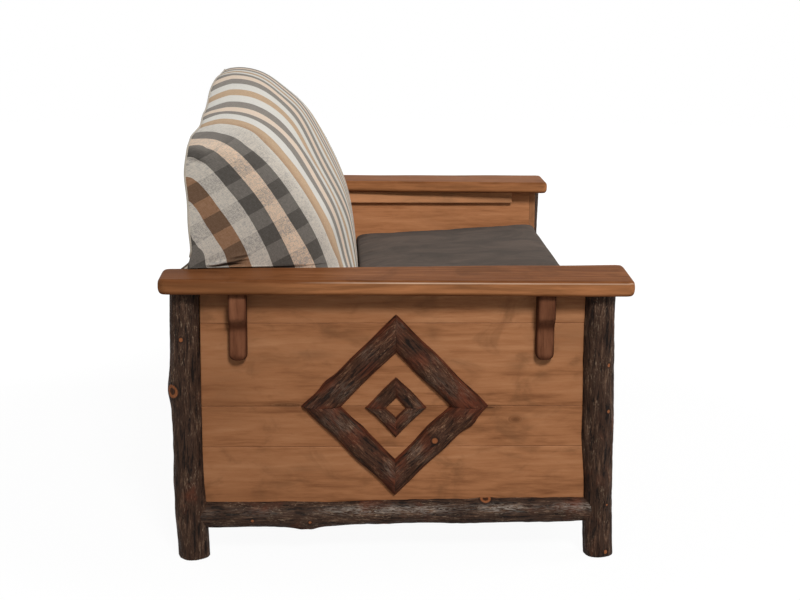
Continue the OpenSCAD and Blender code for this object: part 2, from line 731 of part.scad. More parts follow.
module corner_brackets() {
    reach = bracket_screw_reach();
    color(STEEL) at_brackets([0:2]) difference() {
        linear_extrude(bracket_h) polygon([[0, 0], [bracket_leg, 0], [bracket_leg, bracket_t],
            [bracket_t, bracket_t], [bracket_t, bracket_leg], [0, bracket_leg]]);
        for (z = bracket_screw_steps()) {
            translate([-5, reach, z]) rotate([0, 90, 0]) cylinder(r = screw_r + bore_gap, h = 20, $fn = 24);
            translate([reach, -5, z]) rotate([-90, 0, 0]) cylinder(r = screw_r + bore_gap, h = 20, $fn = 24);
        }
    }
}

// Screws through both legs of the brackets, into the panel and the board
module bracket_screws() {
    reach = bracket_screw_reach();
    color(STEEL) at_brackets([0:2]) for (z = bracket_screw_steps()) {
        translate([bracket_t, reach, z]) rotate([0, -90, 0]) screw(bracket_t + bracket_screw_bite);
        translate([reach, bracket_t, z]) rotate([90, 0, 0]) screw(bracket_t + bracket_screw_bite);
    }
}

// Screw along +Z, with its head below z = 0
module screw(length) {
    translate([0, 0, -screw_head_h]) {
        cylinder(r = screw_r, h = screw_head_h + length, $fn = 24);
        cylinder(r = screw_head_r, h = screw_head_h, $fn = 24);
    }
}

// Bores for the bracket screws in a board across the seat
module bracket_bores(i) {
    at_brackets([i]) for (z = bracket_screw_steps())
        translate([bracket_screw_reach(), 1, z]) rotate([90, 0, 0])
            cylinder(r = screw_r + bore_gap, h = 1 + bracket_screw_bite + bore_gap, $fn = 24);
}

// Seat cushions

cushion_w = seat_half - 1.5 * soft_gap;
cushion_lean = (cushion_t + cushion_crown) * sin(deck_tilt);     // reach of its top behind its foot
cushion_d = (back_front_in - 3 * soft_gap - cushion_lean - cushion_front_in) / cos(deck_tilt);

// Outline of the cushion in plan, inset by d, with its front right corner at the origin
function cushion_plan(d) =
    let (r = max(4, cushion_corner_r - 0.6 * d),
         corners = [[0, 0, 180], [cushion_w, 0, 270], [cushion_w, cushion_d, 0], [0, cushion_d, 90]],
         inward = [[1, 1], [-1, 1], [-1, -1], [1, -1]])
    [for (i = [0:3]) for (k = [0:5])
        let (ang = corners[i][2] + 18 * k,
             cx = corners[i][0] + inward[i][0] * (d + r),
             cy = corners[i][1] + inward[i][1] * (d + r))
        [cx + r * cos(ang), cy + r * sin(ang)]];

// Inset and height of the cushion's edge, from its flat underside over its side to its crown
function cushion_edge() =
    let (r = cushion_edge_r, low = cushion_low_r)
    concat(
        [for (a = [0:30:90]) [low * (1 - sin(a)), low * (1 - cos(a))]],
        [for (a = [90:18:180]) [r * (1 - sin(a)), cushion_t - r * (1 + cos(a))]],
        [for (s = [0.15, 0.35, 0.6, 0.9])
            [r + s * (cushion_d / 2 - r - 6), cushion_t + cushion_crown * sin(90 * s)]]);

module seat_cushion(side) {
    place = side == "right" ? -seat_half + soft_gap : soft_gap / 2;
    color(SUEDE) translate([place, front_y + cushion_front_in, deck_at(cushion_front_in) + soft_gap])
        rotate([-deck_tilt, 0, 0])
            loft([for (e = cushion_edge()) [for (p = cushion_plan(e[0])) [p[0], p[1], e[1]]]]);
}

// Upholstered back

// Height of the back's top edge at a distance from the armrest's outer edge
function crest_at(a) =
    crest_end_z + (crest_mid_z - crest_end_z) * smooth((a - crown_in) / crown_run)
    - crest_drop * (1 - smooth((a - back_end_in) / (crown_in - back_end_in)));

// Distance from the armrest's outer edge to the end ring that has shrunk to share k
function end_ring(k) =
    back_end_in + back_end_slant * (k - end_shares[0])
    + (k > end_turn ? back_end_round * (1 - sqrt(max(0, 1 - pow((k - end_turn) / (1 - end_turn), 2)))) : 0);

// Rear face of the back at height z: a flat bulge from the base to the top of its straight part
function rear_at(z) =
    back_rear_in + back_bulge * sin(180 * min(1, max(0, (z - deck_z) / (bulge_top - deck_z))));

// Side profile of the back, crest at height top: up the leaning front, over, and down the rear
function back_profile(top) =
    let (depth = back_crest_in - back_front_in, rise = top - profile_z,
         rear = back_rear_in - back_crest_in)
    concat(
        [[back_front_in, deck_z]],
        [for (a = [0:7.5:90]) [back_crest_in - depth * cos(a), profile_z + rise * sin(a)]],
        [for (a = [75:-15:15])
            [back_crest_in + rear * pow(cos(a), crest_square),
             top - crest_fall * (1 - pow(sin(a), crest_square))]],
        [for (s = [0, 0.25, 0.5, 0.75, 1])
            let (z = top - crest_fall + (core_z - top + crest_fall) * s) [rear_at(z), z]],
        [for (s = [0.33, 0.67]) let (z = core_z + (deck_z - core_z) * s) [rear_at(z), z]],
        [[back_rear_in, deck_z]]);

// Section of the back at a distance from the armrest's outer edge. Its depth has shrunk to share
// k, towards the rear, and its height above the armrest only a little, so that the end stays upright.
function back_section(a, k, x) =
    let (kz = 1 - pow(1 - k, end_upright))
    [for (p = back_profile(crest_at(a)))
        [x, back_rear_in + (p[0] - back_rear_in) * k, p[1] > core_z ? core_z + (p[1] - core_z) * kz : p[1]]];

end_upright = 3.3;      // how soon the end rises to its full height, rear to front
end_turn = 0.6;         // share of the depth where the end starts to round to the front
crest_square = 0.75;    // squareness of the crest's rear corner, 1 for an ellipse
end_shares = [0.12, 0.25, 0.4, 0.55, 0.7, 0.8, 0.87, 0.93, 0.97, 1];
middle_places = 20;

module back_cushion() {
    a1 = end_ring(1);
    left = [for (k = end_shares) back_section(end_ring(k), k, half_w - end_ring(k))];
    middle = [for (i = [1:middle_places - 1])
        let (x = (half_w - a1) * (1 - 2 * i / middle_places))
        back_section(half_w - abs(x), 1, x)];
    right = [for (i = [len(end_shares) - 1:-1:0])
        let (k = end_shares[i]) back_section(end_ring(k), k, end_ring(k) - half_w)];
    color(PLAID) difference() {
        translate([0, front_y, 0]) loft(concat(left, middle, right));
        back_pocket();
        for (side = ["right", "left"]) arm_side(side)
            translate([0, 0, arm_z - soft_gap]) linear_extrude(arm_t + 2 * soft_gap)
                polygon(arm_plan(-soft_gap));
    }
}

// Space inside the padding that holds the back frame, open to the rear
module back_pocket() {
    wide = rib_half + fit;
    across(-wide, wide) polygon([
        [rib_front_in - fit - 2 * strap_t, deck_z - eps], [back_rear_in + back_bulge + 1, deck_z - eps],
        [back_rear_in + back_bulge + 1, rib_top_z + rib_t + fit],
        [frame_rear - rib_top_d - fit, rib_top_z + rib_t + fit],
        [frame_rear - rib_top_d - fit - 2 * strap_t, rib_top_z],
        [rib_front_in - fit - 2 * strap_t, base_z]]);
    translate([0, front_y + frame_rear - rib_t - fit, 0]) upright(rib_t + outside_back_t + back_bulge + 1 + fit)
        polygon(crest_outline(wide, deck_z - eps, fit));
}

// Stands an XZ outline up as a board of thickness t, reaching from y = 0 towards the rear
module upright(t) {
    translate([0, t, 0]) rotate([90, 0, 0]) linear_extrude(t) children();
}

// Outline of the boards behind the ribs: cambered top, padding below the back's top edge
function crest_outline(wide, low, grow) =
    concat([[wide, low]],
        [for (i = [12:-1:-12]) let (x = wide * i / 12) [x, crest_at(half_w - abs(x)) - crest_pad + grow]],
        [[-wide, low]]);

module back_ribs() {
    color(FRAME_WOOD) for (x = [-rib_half, -rib_t / 2, rib_half - rib_t])
        across(x, x + rib_t) polygon([
            [rib_front_in, base_z], [frame_rear, base_z],
            [frame_rear, rib_top_z - crest_rail_d], [frame_rear - rib_t, rib_top_z - crest_rail_d],
            [frame_rear - rib_t, rib_top_z], [frame_rear - rib_top_d, rib_top_z]]);
}

module base_rail(y_in, screw_in) {
    color(FRAME_WOOD) difference() {
        block([-rib_half, front_y + y_in, deck_z], [rib_half, front_y + y_in + base_rail_w, base_z]);
        for (x = back_screw_places()) translate([x, front_y + screw_in, deck_z - 1]) {
            cylinder(r = screw_r + bore_gap, h = rib_t + 2, $fn = 24);
            translate([0, 0, 1 + rib_t - screw_head_h])
                cylinder(r = screw_head_r + bore_gap, h = 20, $fn = 24);
        }
    }
}

function back_screw_places() = [for (i = [-1.5:1:1.5]) rib_half * i / 1.8];
function front_screw_in() = (rib_front_in + seat_rail_in + seat_rail_t) / 2;
function rear_screw_in() = rear_apron_in - ledger_t / 2;

module back_screws() {
    color(STEEL) for (x = back_screw_places(), y = [front_screw_in(), rear_screw_in()])
        translate([x, front_y + y, deck_z - back_screw_bite]) {
            cylinder(r = screw_r, h = back_screw_bite + rib_t - head_gap, $fn = 24);
            translate([0, 0, back_screw_bite + rib_t - screw_head_h])
                cylinder(r = screw_head_r, h = screw_head_h - head_gap, $fn = 24);
        }
}

module back_top_rail() {
    color(FRAME_WOOD) block(
        [-rib_half, front_y + frame_rear - rib_top_d, rib_top_z],
        [rib_half, front_y + frame_rear - rib_t, rib_top_z + rib_t]);
}

module back_crest_rail() {
    color(FRAME_WOOD) translate([0, front_y + frame_rear - rib_t, 0]) upright(rib_t)
        polygon(crest_outline(rib_half, rib_top_z - crest_rail_d, 0));
}

module back_webbing() {
    run = (rib_top_z - base_z) / sin(rib_slope);
    color(WEBBING) for (i = [0:strap_count - 1])
        translate([-rib_half, front_y + rib_front_in, base_z]) rotate([rib_slope, 0, 0])
            translate([0, run * (i + 0.5) / strap_count - strap_w / 2, 0])
                cube([2 * rib_half, strap_w, strap_t]);
}

// Padded board behind the back frame, flush with the bulge of the padding around it
module outside_back() {
    color(PLAID) intersection() {
        translate([0, front_y + frame_rear, 0]) upright(outside_back_t + back_bulge + 1)
            polygon(crest_outline(rib_half, deck_z, 0));
        across(-rib_half - 1, rib_half + 1) polygon(concat(
            [[frame_rear - 1, crest_mid_z], [frame_rear - 1, deck_z]],
            [for (i = [0:12]) let (z = deck_z + (bulge_top - deck_z) * i / 12) [rear_at(z), z]],
            [[back_rear_in, crest_mid_z]]));
    }
}

// Thin cloth stapled under the back frame's base rails
module dust_cover() {
    color(DUST_CLOTH) block(
        [-rib_half, front_y + seat_rail_in + seat_rail_t + fit, deck_z - dust_cover_t],
        [rib_half, front_y + rear_apron_in - ledger_t - fit, deck_z]);
}

front_post("right");  // right_front_post
rear_post("right");  // right_rear_post
side_rail("right");  // right_side_rail
armrest("right");  // right_armrest
outer_panel("right");  // right_outer_panel
inner_panel("right");  // right_inner_panel
edge_strip("right");  // right_edge_strip
arm_cleat("right");  // right_arm_cleat
corbel("right", front_corbel_in);  // right_front_corbel
corbel("right", overall_d - rear_corbel_in);  // right_rear_corbel
diamond("right", outer_half, outer_twig_w, outer_twig_h);  // right_outer_diamond
diamond("right", inner_half, inner_twig_w, inner_twig_h);  // right_inner_diamond
front_post("left");  // left_front_post
rear_post("left");  // left_rear_post
side_rail("left");  // left_side_rail
armrest("left");  // left_armrest
outer_panel("left");  // left_outer_panel
inner_panel("left");  // left_inner_panel
edge_strip("left");  // left_edge_strip
arm_cleat("left");  // left_arm_cleat
corbel("left", front_corbel_in);  // left_front_corbel
corbel("left", overall_d - rear_corbel_in);  // left_rear_corbel
diamond("left", outer_half, outer_twig_w, outer_twig_h);  // left_outer_diamond
diamond("left", inner_half, inner_twig_w, inner_twig_h);  // left_inner_diamond
cross_rail(front_post_in, 5, 1);  // front_log_rail
cross_rail(rear_post_y, 7, -1);  // rear_log_rail
front_apron();
rear_apron();
seat_back_rail();
front_slat_ledger();
rear_slat_ledger();
rear_ledger();
seat_slats();
seat_cushion("right");  // right_seat_cushion
seat_cushion("left");  // left_seat_cushion
back_ribs();
base_rail(rib_front_in, front_screw_in());  // back_front_base_rail
base_rail(frame_rear - base_rail_w, rear_screw_in());  // back_rear_base_rail
back_top_rail();
back_crest_rail();
back_webbing();
back_cushion();
outside_back();
dust_cover();
armrest_dowels();
corbel_screws();
cleat_screws();
corner_brackets();
bracket_screws();
slat_screws();
back_screws();
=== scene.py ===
"""Log loveseat: bark-covered posts and rails, panelled arms with diamonds of split logs, plank
armrests, two loose seat cushions and a crowned plaid back. Metres, +Z up, the front faces -Y."""

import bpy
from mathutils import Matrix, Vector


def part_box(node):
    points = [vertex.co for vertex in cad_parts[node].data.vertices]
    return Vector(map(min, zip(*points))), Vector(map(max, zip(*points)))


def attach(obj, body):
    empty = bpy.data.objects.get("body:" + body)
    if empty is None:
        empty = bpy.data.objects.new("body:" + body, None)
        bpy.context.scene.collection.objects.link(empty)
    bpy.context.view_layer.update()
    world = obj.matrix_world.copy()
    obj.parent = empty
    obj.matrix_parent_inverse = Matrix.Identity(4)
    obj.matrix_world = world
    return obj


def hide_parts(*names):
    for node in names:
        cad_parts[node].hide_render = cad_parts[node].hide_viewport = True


bl_info = {
    "name": "Log loveseat",
    "version": (1, 0, 0),
    "blender": (4, 5, 0),
    "location": "View3D > Sidebar > Loveseat",
    "description": "Builds the logs, boards, cushions and plaid back of a rustic log loveseat",
    "category": "Add Mesh",
}

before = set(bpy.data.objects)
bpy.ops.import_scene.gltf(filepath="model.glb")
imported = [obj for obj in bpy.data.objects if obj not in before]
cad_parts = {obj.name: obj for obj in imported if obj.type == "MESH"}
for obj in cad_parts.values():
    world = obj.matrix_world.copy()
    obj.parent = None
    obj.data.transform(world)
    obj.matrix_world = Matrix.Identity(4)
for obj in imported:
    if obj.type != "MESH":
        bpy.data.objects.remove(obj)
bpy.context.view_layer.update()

import math

import bpy
import numpy as np
from bpy.props import FloatProperty, FloatVectorProperty, PointerProperty
from mathutils import Matrix, Vector

MM = 0.001
SIDES = {"right": -1, "left": 1}


def box(node):
    """Lowest and highest corner of a CAD node, as arrays."""
    low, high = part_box(node)
    return np.array(low), np.array(high)


HALF_W = box("left_armrest")[1][0]             # outer edges of the armrests
FRONT, REAR = box("left_armrest")[0][1], box("left_armrest")[1][1]
ARM_UNDER, ARM_TOP = box("left_armrest")[0][2], box("left_armrest")[1][2]
PANEL_X = box("left_outer_panel")[1][0]        # outer face of the outer panels
DECK_Z = box("back_cushion")[0][2]             # top of the seat deck, under the back
DIAMOND_Z = (box("left_outer_diamond")[0][2] + box("left_outer_diamond")[1][2]) / 2
ARM_FRONT_W, ARM_REAR_W = 0.180, 0.131         # widths of an armrest at its ends


def tone(red, green, blue):
    """Linear colour of a screen colour given from 0 to 255."""
    channel = np.array([red, green, blue]) / 255
    linear = np.where(channel < 0.04045, channel / 12.92, ((channel + 0.055) / 1.055) ** 2.4)
    return tuple(float(value) for value in linear)


def tinted(shade, share):
    """Colour times a share, or times a share for each channel, at most 1."""
    return tuple(float(value) for value in np.minimum(np.array(shade) * share, 1))


# Sizes and colours

def size(name, description, default):
    return FloatProperty(name=name, description=description, default=default, unit="LENGTH", precision=4)


def colour(name, description, default):
    return FloatVectorProperty(name=name, description=description, default=default, size=3,
                               subtype="COLOR", min=0, max=1)


def amount(name, description, default):
    return FloatProperty(name=name, description=description, default=default, min=0)


class LogSettings(bpy.types.PropertyGroup):
    """Sizes and colours of the logs and their bark."""
    post_radius: size("Post radius", "Radius of a post at the floor", 0.0335)
    rail_radius: size("Rail radius", "Radius of the rail logs", 0.029)
    ridge_height: size("Bark ridges", "Height of the long ridges in the bark", 0.0008)
    lobe_height: size("Unevenness", "Height of the soft swellings along a log", 0.0011)
    knot_height: size("Knot height", "Height of the knots above the bark", 0.004)
    furrow: colour("Furrows", "Colour between the ridges", tone(22, 14, 10))
    bark: colour("Bark", "Colour of the bark", tone(58, 40, 30))
    ridge: colour("Ridge tops", "Colour of the worn ridge tops", tone(98, 74, 58))
    fleck: colour("Flecks", "Colour of the pale flecks in the bark", tone(156, 136, 114))
    # Painted sheen: the pale fibres in a strip along the side rails and on the twigs' tops.
    sheen: colour("Worn fibres", "Colour of the fibres rubbed pale on top of a rail", tone(176, 164, 152))
    inner_bark: colour("Inner bark", "Red-brown colour where the outer bark has gone", tone(98, 50, 32))
    knot: colour("Knots", "Colour of a knot", tone(152, 92, 56))
    end_grain: colour("Sawn ends", "Colour of the logs' sawn ends", tone(126, 92, 66))


class WoodSettings(bpy.types.PropertyGroup):
    """Sizes and colours of the boards and planks."""
    edge_round: size("Edge rounding", "Radius of the boards' eased edges", 0.0015)
    arm_round: size("Armrest rounding", "Radius of the armrests' rounded edges", 0.010)
    panel_dark: colour("Panel, dark", "Dark streaks of the panels", tone(118, 74, 46))
    panel_mid: colour("Panel", "Colour of the panels", tone(158, 106, 70))
    panel_light: colour("Panel, light", "Pale streaks of the panels", tone(176, 124, 86))
    arm_dark: colour("Armrest, dark", "Dark streaks of the armrests' tops", tone(96, 54, 28))
    arm_mid: colour("Armrest", "Colour of the armrests' tops", tone(130, 82, 50))
    arm_light: colour("Armrest, light", "Pale streaks of the armrests' tops", tone(160, 108, 72))
    # Painted light: the armrests' sides and ends take this tone, lighter than their tops.
    lit_side_mid: colour("Armrest sides", "Colour of the armrests' sides", tone(160, 106, 68))
    # Painted highlight: the pale line along the near armrest's upper edges.
    painted_highlight: colour("Rubbed edge", "Colour of the armrests' rubbed upper edges", tone(238, 208, 180))
    corbel_dark: colour("Corbel, dark", "Dark streaks of the corbels", tone(66, 36, 22))
    corbel_mid: colour("Corbel", "Colour of the corbels", tone(110, 69, 48))
    corbel_light: colour("Corbel, light", "Pale streaks of the corbels", tone(132, 86, 61))
    frame_mid: colour("Frame wood", "Colour of the unfinished wood of the seat frame", tone(196, 168, 128))
    frame_dark: colour("Frame wood, dark", "Dark streaks of the unfinished wood", tone(160, 128, 90))


class UpholsterySettings(bpy.types.PropertyGroup):
    """Sizes and colours of the cushions and the back."""
    stripe_width: size("Stripe width", "Width of one band of the plaid", 0.039)
    seat_puff: size("Seat cushion puff", "Most that the seat cushion swells", 0.014)
    back_puff: size("Back puff", "Most that the back swells", 0.003)
    seam_depth: size("Seam depth", "Depth of the seat cushions' seams", 0.0025)
    welt_radius: size("Welt radius", "Radius of the welt along the back's rear edge", 0.0020)
    dark: colour("Dark band", "Charcoal band of the plaid", tone(136, 129, 121))
    light: colour("Light band", "Oatmeal band of the plaid", tone(223, 219, 210))
    tan: colour("Tan band", "Brown band of the plaid", tone(186, 158, 128))
    peach: colour("Peach band", "Peach band of the plaid", tone(232, 210, 188))
    # The welt's tone is darker than the pale bands as painted shade.
    welt: colour("Welt", "Colour of the welt", tone(180, 170, 155))
    suede: colour("Suede", "Colour of the seat cushions", tone(80, 72, 66))
    suede_light: colour("Brushed suede", "Colour where the nap is brushed up", tone(98, 86, 78))
    tuck: colour("Tucked corner", "Colour of the cover's tucked rear corners", tone(190, 181, 166))
    # Painted shadow: this darker copy of the tuck shows along its edge.
    tuck_shadow: colour("Tuck's edge", "Colour of the shaded edge of a tucked corner", tone(84, 68, 50))
    lining: colour("Dust cover", "Colour of the cloth under the back", tone(34, 34, 35))
    webbing: colour("Webbing", "Colour of the straps inside the back", tone(214, 204, 180))


class StudioSettings(bpy.types.PropertyGroup):
    """Lights, floor and camera."""
    key: amount("Key lamp", "Power of the large soft lamp", 1180)
    front: amount("Front lamp", "Power of the lamp before the seat", 400)
    rear: amount("Rear lamp", "Power of the weak lamp behind", 40)
    sky: amount("Room light", "Strength of the room's even light", 0.25)
    floor: colour("Floor", "Colour of the floor under the object's light", (0.42, 0.42, 0.42))
    lens: FloatProperty(name="Lens", description="Focal length on a 36 mm sensor", default=74.98)
    camera_place: FloatVectorProperty(name="Camera", description="Place of the camera", size=3,
                                      default=(-4.294, 0.1347, 1.312), subtype="TRANSLATION")
    camera_turn: FloatVectorProperty(name="Camera angles", description="Yaw, fall and roll of the camera",
                                     size=3, default=(-0.04032, 0.20595, 0.00785), subtype="EULER")


# Surfaces

def smooth(values):
    """Cubic step from 0 at 0 to 1 at 1."""
    share = np.clip(values, 0, 1)
    return share * share * (3 - 2 * share)


def bell(values):
    """Bell curve, 1 at 0."""
    return np.exp(-values * values)


def waves(along, around, seed, count, turns, runs):
    """Sum of cosine waves with random phases, each with a whole number of turns around and a number
    of runs per metre along, divided so that its spread is 1."""
    rng = np.random.default_rng(seed)
    turn = rng.integers(turns[0], turns[1] + 1, count)
    run = rng.uniform(runs[0], runs[1], count) * rng.choice((-1, 1), count)
    phase = rng.uniform(0, 2 * np.pi, count)
    angle = around[..., None] * turn + 2 * np.pi * along[..., None] * run + phase
    return np.cos(angle).sum(-1) / math.sqrt(count / 2)


def skin(rings, **marks):
    """Closed skin through rings, rows x columns x 3: quads between neighbouring rings, and a fan of
    triangles from the middle of the first and of the last ring. Its faces are turned outwards, by the
    sign of the volume that they enclose. marks are values for the rings' points."""
    rows, columns = rings.shape[:2]
    points = np.vstack([rings.reshape(-1, 3), rings[0].mean(0), rings[-1].mean(0)])
    row, column = np.meshgrid(np.arange(rows - 1) * columns, np.arange(columns), indexing="ij")
    after = (column + 1) % columns
    quads = np.stack([row + column, row + after, row + columns + after, row + columns + column], -1)
    first, following = np.arange(columns), (np.arange(columns) + 1) % columns
    last = (rows - 1) * columns
    fans = np.vstack([
        np.stack([following, first, np.full(columns, len(points) - 2)], -1),
        np.stack([last + first, last + following, np.full(columns, len(points) - 1)], -1)])
    quads = quads.reshape(-1, 4)
    triangles = np.vstack([quads[:, :3], quads[:, [0, 2, 3]], fans])
    corner = points[triangles]
    if np.einsum("ij,ij->i", corner[:, 0], np.cross(corner[:, 1], corner[:, 2])).sum() < 0:
        quads, fans = quads[:, ::-1], fans[:, ::-1]
    values = {}
    for name, value in marks.items():
        value = np.broadcast_to(value, (rows, columns))
        values[name] = np.concatenate([value.ravel(), [value[0].mean(), value[-1].mean()]])
    return points, quads, fans, values


def placed(name, data):
    """Object of its own in the scene."""
    made = bpy.data.objects.new(name, data)
    bpy.context.scene.collection.objects.link(made)
    return made


def piece(name, skins, material, replaces, body="frame"):
    """One object made of closed skins. It rides on its body and stands for its CAD nodes."""
    points = np.vstack([shell[0] for shell in skins])
    starts = np.cumsum([0] + [len(shell[0]) for shell in skins])
    faces = [face for shell, start in zip(skins, starts) for part in shell[1:3]
             for face in (part + start).tolist()]
    mesh = bpy.data.meshes.new(name)
    mesh.from_pydata(points.tolist(), [], faces)
    for mark in skins[0][3]:
        values = np.concatenate([shell[3][mark] for shell in skins])
        mesh.attributes.new(mark, "FLOAT", "POINT").data.foreach_set("value", values.astype(np.float32))
    mesh.shade_smooth()
    mesh.materials.append(material)
    made = placed(name, mesh)
    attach(made, body)
    if replaces:
        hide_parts(*replaces)
    return made


def rounded_loop(width, height, radius, along_width, along_height):
    """Rectangle with quarter-round corners, counter-clockwise: an arc at each corner, then evenly
    spaced points along the straight side, the outer ones 1 mm from the arcs."""
    quarter = np.radians(np.linspace(0, 90, 5))
    across, up = width / 2 - radius, height / 2 - radius
    loop = []
    for turn, centre, count in ((0, (across, up), along_width), (90, (-across, up), along_height),
                                (180, (-across, -up), along_width), (270, (across, -up), along_height)):
        angle = quarter + math.radians(turn)
        loop.append(np.stack([centre[0] + radius * np.cos(angle), centre[1] + radius * np.sin(angle)], -1))
        run = 2 * (across if turn % 180 == 0 else up)
        way = np.array([math.cos(math.radians(turn + 180)), math.sin(math.radians(turn + 180))])
        steps = np.linspace(min(MM, run / 4), run - min(MM, run / 4), count)
        loop.append(loop[-1][-1] + steps[:, None] * way)
    return np.vstack(loop)


def plank(low, high, axis, radius, board, spacing=0.03):
    """Board between two corners: a rounded rectangle carried along one axis. Near each end the
    rectangle shrinks by a quarter circle, so that the ends are eased as the edges are. The board's
    number shifts its grain."""
    low, high = np.array(low, float), np.array(high, float)
    across, up = [(axis + 1) % 3, (axis + 2) % 3]
    extent = high - low
    length = extent[axis]
    ease = radius * (1 - np.cos(np.radians(np.linspace(0, 90, 4))))
    middle = np.linspace(radius + MM, length - radius - MM, max(3, int(length / spacing)))
    stations = np.concatenate([[0], ease, middle, length - ease[::-1], [length]])
    gap = np.clip(np.minimum(stations, length - stations) / radius, 0, 1)
    inset = radius * (1 - np.sqrt(1 - (1 - gap) ** 2))
    inset[[0, -1]] = radius + MM
    count = [max(2, int(extent[way] / spacing)) for way in (across, up)]
    loop = rounded_loop(extent[across], extent[up], radius, *count)
    half = np.array([extent[across], extent[up]]) / 2
    shrink = 1 - inset[:, None] / half
    flat = loop[None] * shrink[:, None, :]
    rings = np.zeros(flat.shape[:2] + (3,))
    rings[..., axis] = low[axis] + stations[:, None]
    rings[..., across] = (low[across] + high[across]) / 2 + flat[..., 0]
    rings[..., up] = (low[up] + high[up]) / 2 + flat[..., 1]
    return skin(rings, board=board * 0.37, edge=0.5)


# Materials

class Shader:
    """A material, and short ways to add nodes to it."""

    def __init__(self, name):
        self.material = bpy.data.materials.new(name)
        self.material.use_nodes = True
        self.tree = self.material.node_tree
        self.tree.nodes.clear()
        self.place = self.add("ShaderNodeTexCoord").outputs["Object"]

    def add(self, kind, inputs=(), **settings):
        """A node with its settings, and its inputs set to values or linked to sockets."""
        node = self.tree.nodes.new(kind)
        for name, value in settings.items():
            setattr(node, name, value)
        for key, value in dict(inputs).items():
            if isinstance(value, bpy.types.NodeSocket):
                self.tree.links.new(value, node.inputs[key])
            else:
                node.inputs[key].default_value = value
        return node

    def moved(self, vector, turn=(0, 0, 0), scale=(1, 1, 1)):
        """The vector turned, then stretched: the texture is long where the scale is small."""
        turned = self.add("ShaderNodeMapping", {"Vector": vector, "Rotation": turn}).outputs[0]
        return self.add("ShaderNodeMapping", {"Vector": turned, "Scale": scale}).outputs[0]

    def noise(self, vector, scale, detail=4.0, roughness=0.55, distortion=0.0):
        inputs = {"Vector": vector, "Scale": scale, "Detail": detail, "Roughness": roughness,
                  "Distortion": distortion}
        return self.add("ShaderNodeTexNoise", inputs).outputs["Fac"]

    def parts(self, vector):
        return self.add("ShaderNodeSeparateXYZ", {0: vector}).outputs

    def vector(self, operation, first, second=(0, 0, 0)):
        """Sum, difference or product of two vectors, or the length of the first."""
        node = self.add("ShaderNodeVectorMath", {0: first, 1: second}, operation=operation)
        return node.outputs["Value" if operation == "LENGTH" else "Vector"]

    def maths(self, operation, first, second=0.0, third=0.0):
        return self.add("ShaderNodeMath", {0: first, 1: second, 2: third}, operation=operation).outputs[0]

    def times(self, first, second):
        return self.maths("MULTIPLY", first, second)

    def scaled(self, value, share, plus):
        """The value times a share, plus another."""
        return self.maths("MULTIPLY_ADD", value, share, plus)

    def ramp(self, value, stops, interpolation="LINEAR"):
        """Colours from (place, colour) stops."""
        node = self.add("ShaderNodeValToRGB", {"Fac": value})
        band = node.color_ramp
        band.interpolation = interpolation
        while len(band.elements) < len(stops):
            band.elements.new(0.5)
        for element, (place, shade) in zip(band.elements, stops):
            element.position = place
            element.color = (*shade, 1)
        return node.outputs["Color"]

    def grade(self, value, low, high):
        """0 at low and 1 at high, with a soft step between."""
        return self.add("ShaderNodeMapRange", {"Value": value, "From Min": low, "From Max": high},
                        interpolation_type="SMOOTHSTEP").outputs[0]

    def mix(self, share, first, second, blend="MIX"):
        node = self.add("ShaderNodeMix", data_type="RGBA", blend_type=blend)
        for index, value in ((0, share), (6, first), (7, second)):
            if isinstance(value, bpy.types.NodeSocket):
                self.tree.links.new(value, node.inputs[index])
            else:
                node.inputs[index].default_value = value if index == 0 else (*value, 1)
        return node.outputs[2]

    def mark(self, name):
        """A value that the mesh carries at its points."""
        return self.add("ShaderNodeAttribute", attribute_name=name).outputs["Fac"]

    def bump(self, height, distance, strength=1.0):
        inputs = {"Height": height, "Distance": distance, "Strength": strength}
        return self.add("ShaderNodeBump", inputs).outputs[0]

    def finish(self, base, roughness, normal, **constants):
        """Principled shader with a colour, a roughness, a bump and constant sockets."""
        inputs = {"Base Color": base, "Roughness": roughness, "Normal": normal}
        inputs.update({name.replace("_", " "): value for name, value in constants.items()})
        shader = self.add("ShaderNodeBsdfPrincipled", inputs)
        self.add("ShaderNodeOutputMaterial", {"Surface": shader.outputs[0]})
        return self.material


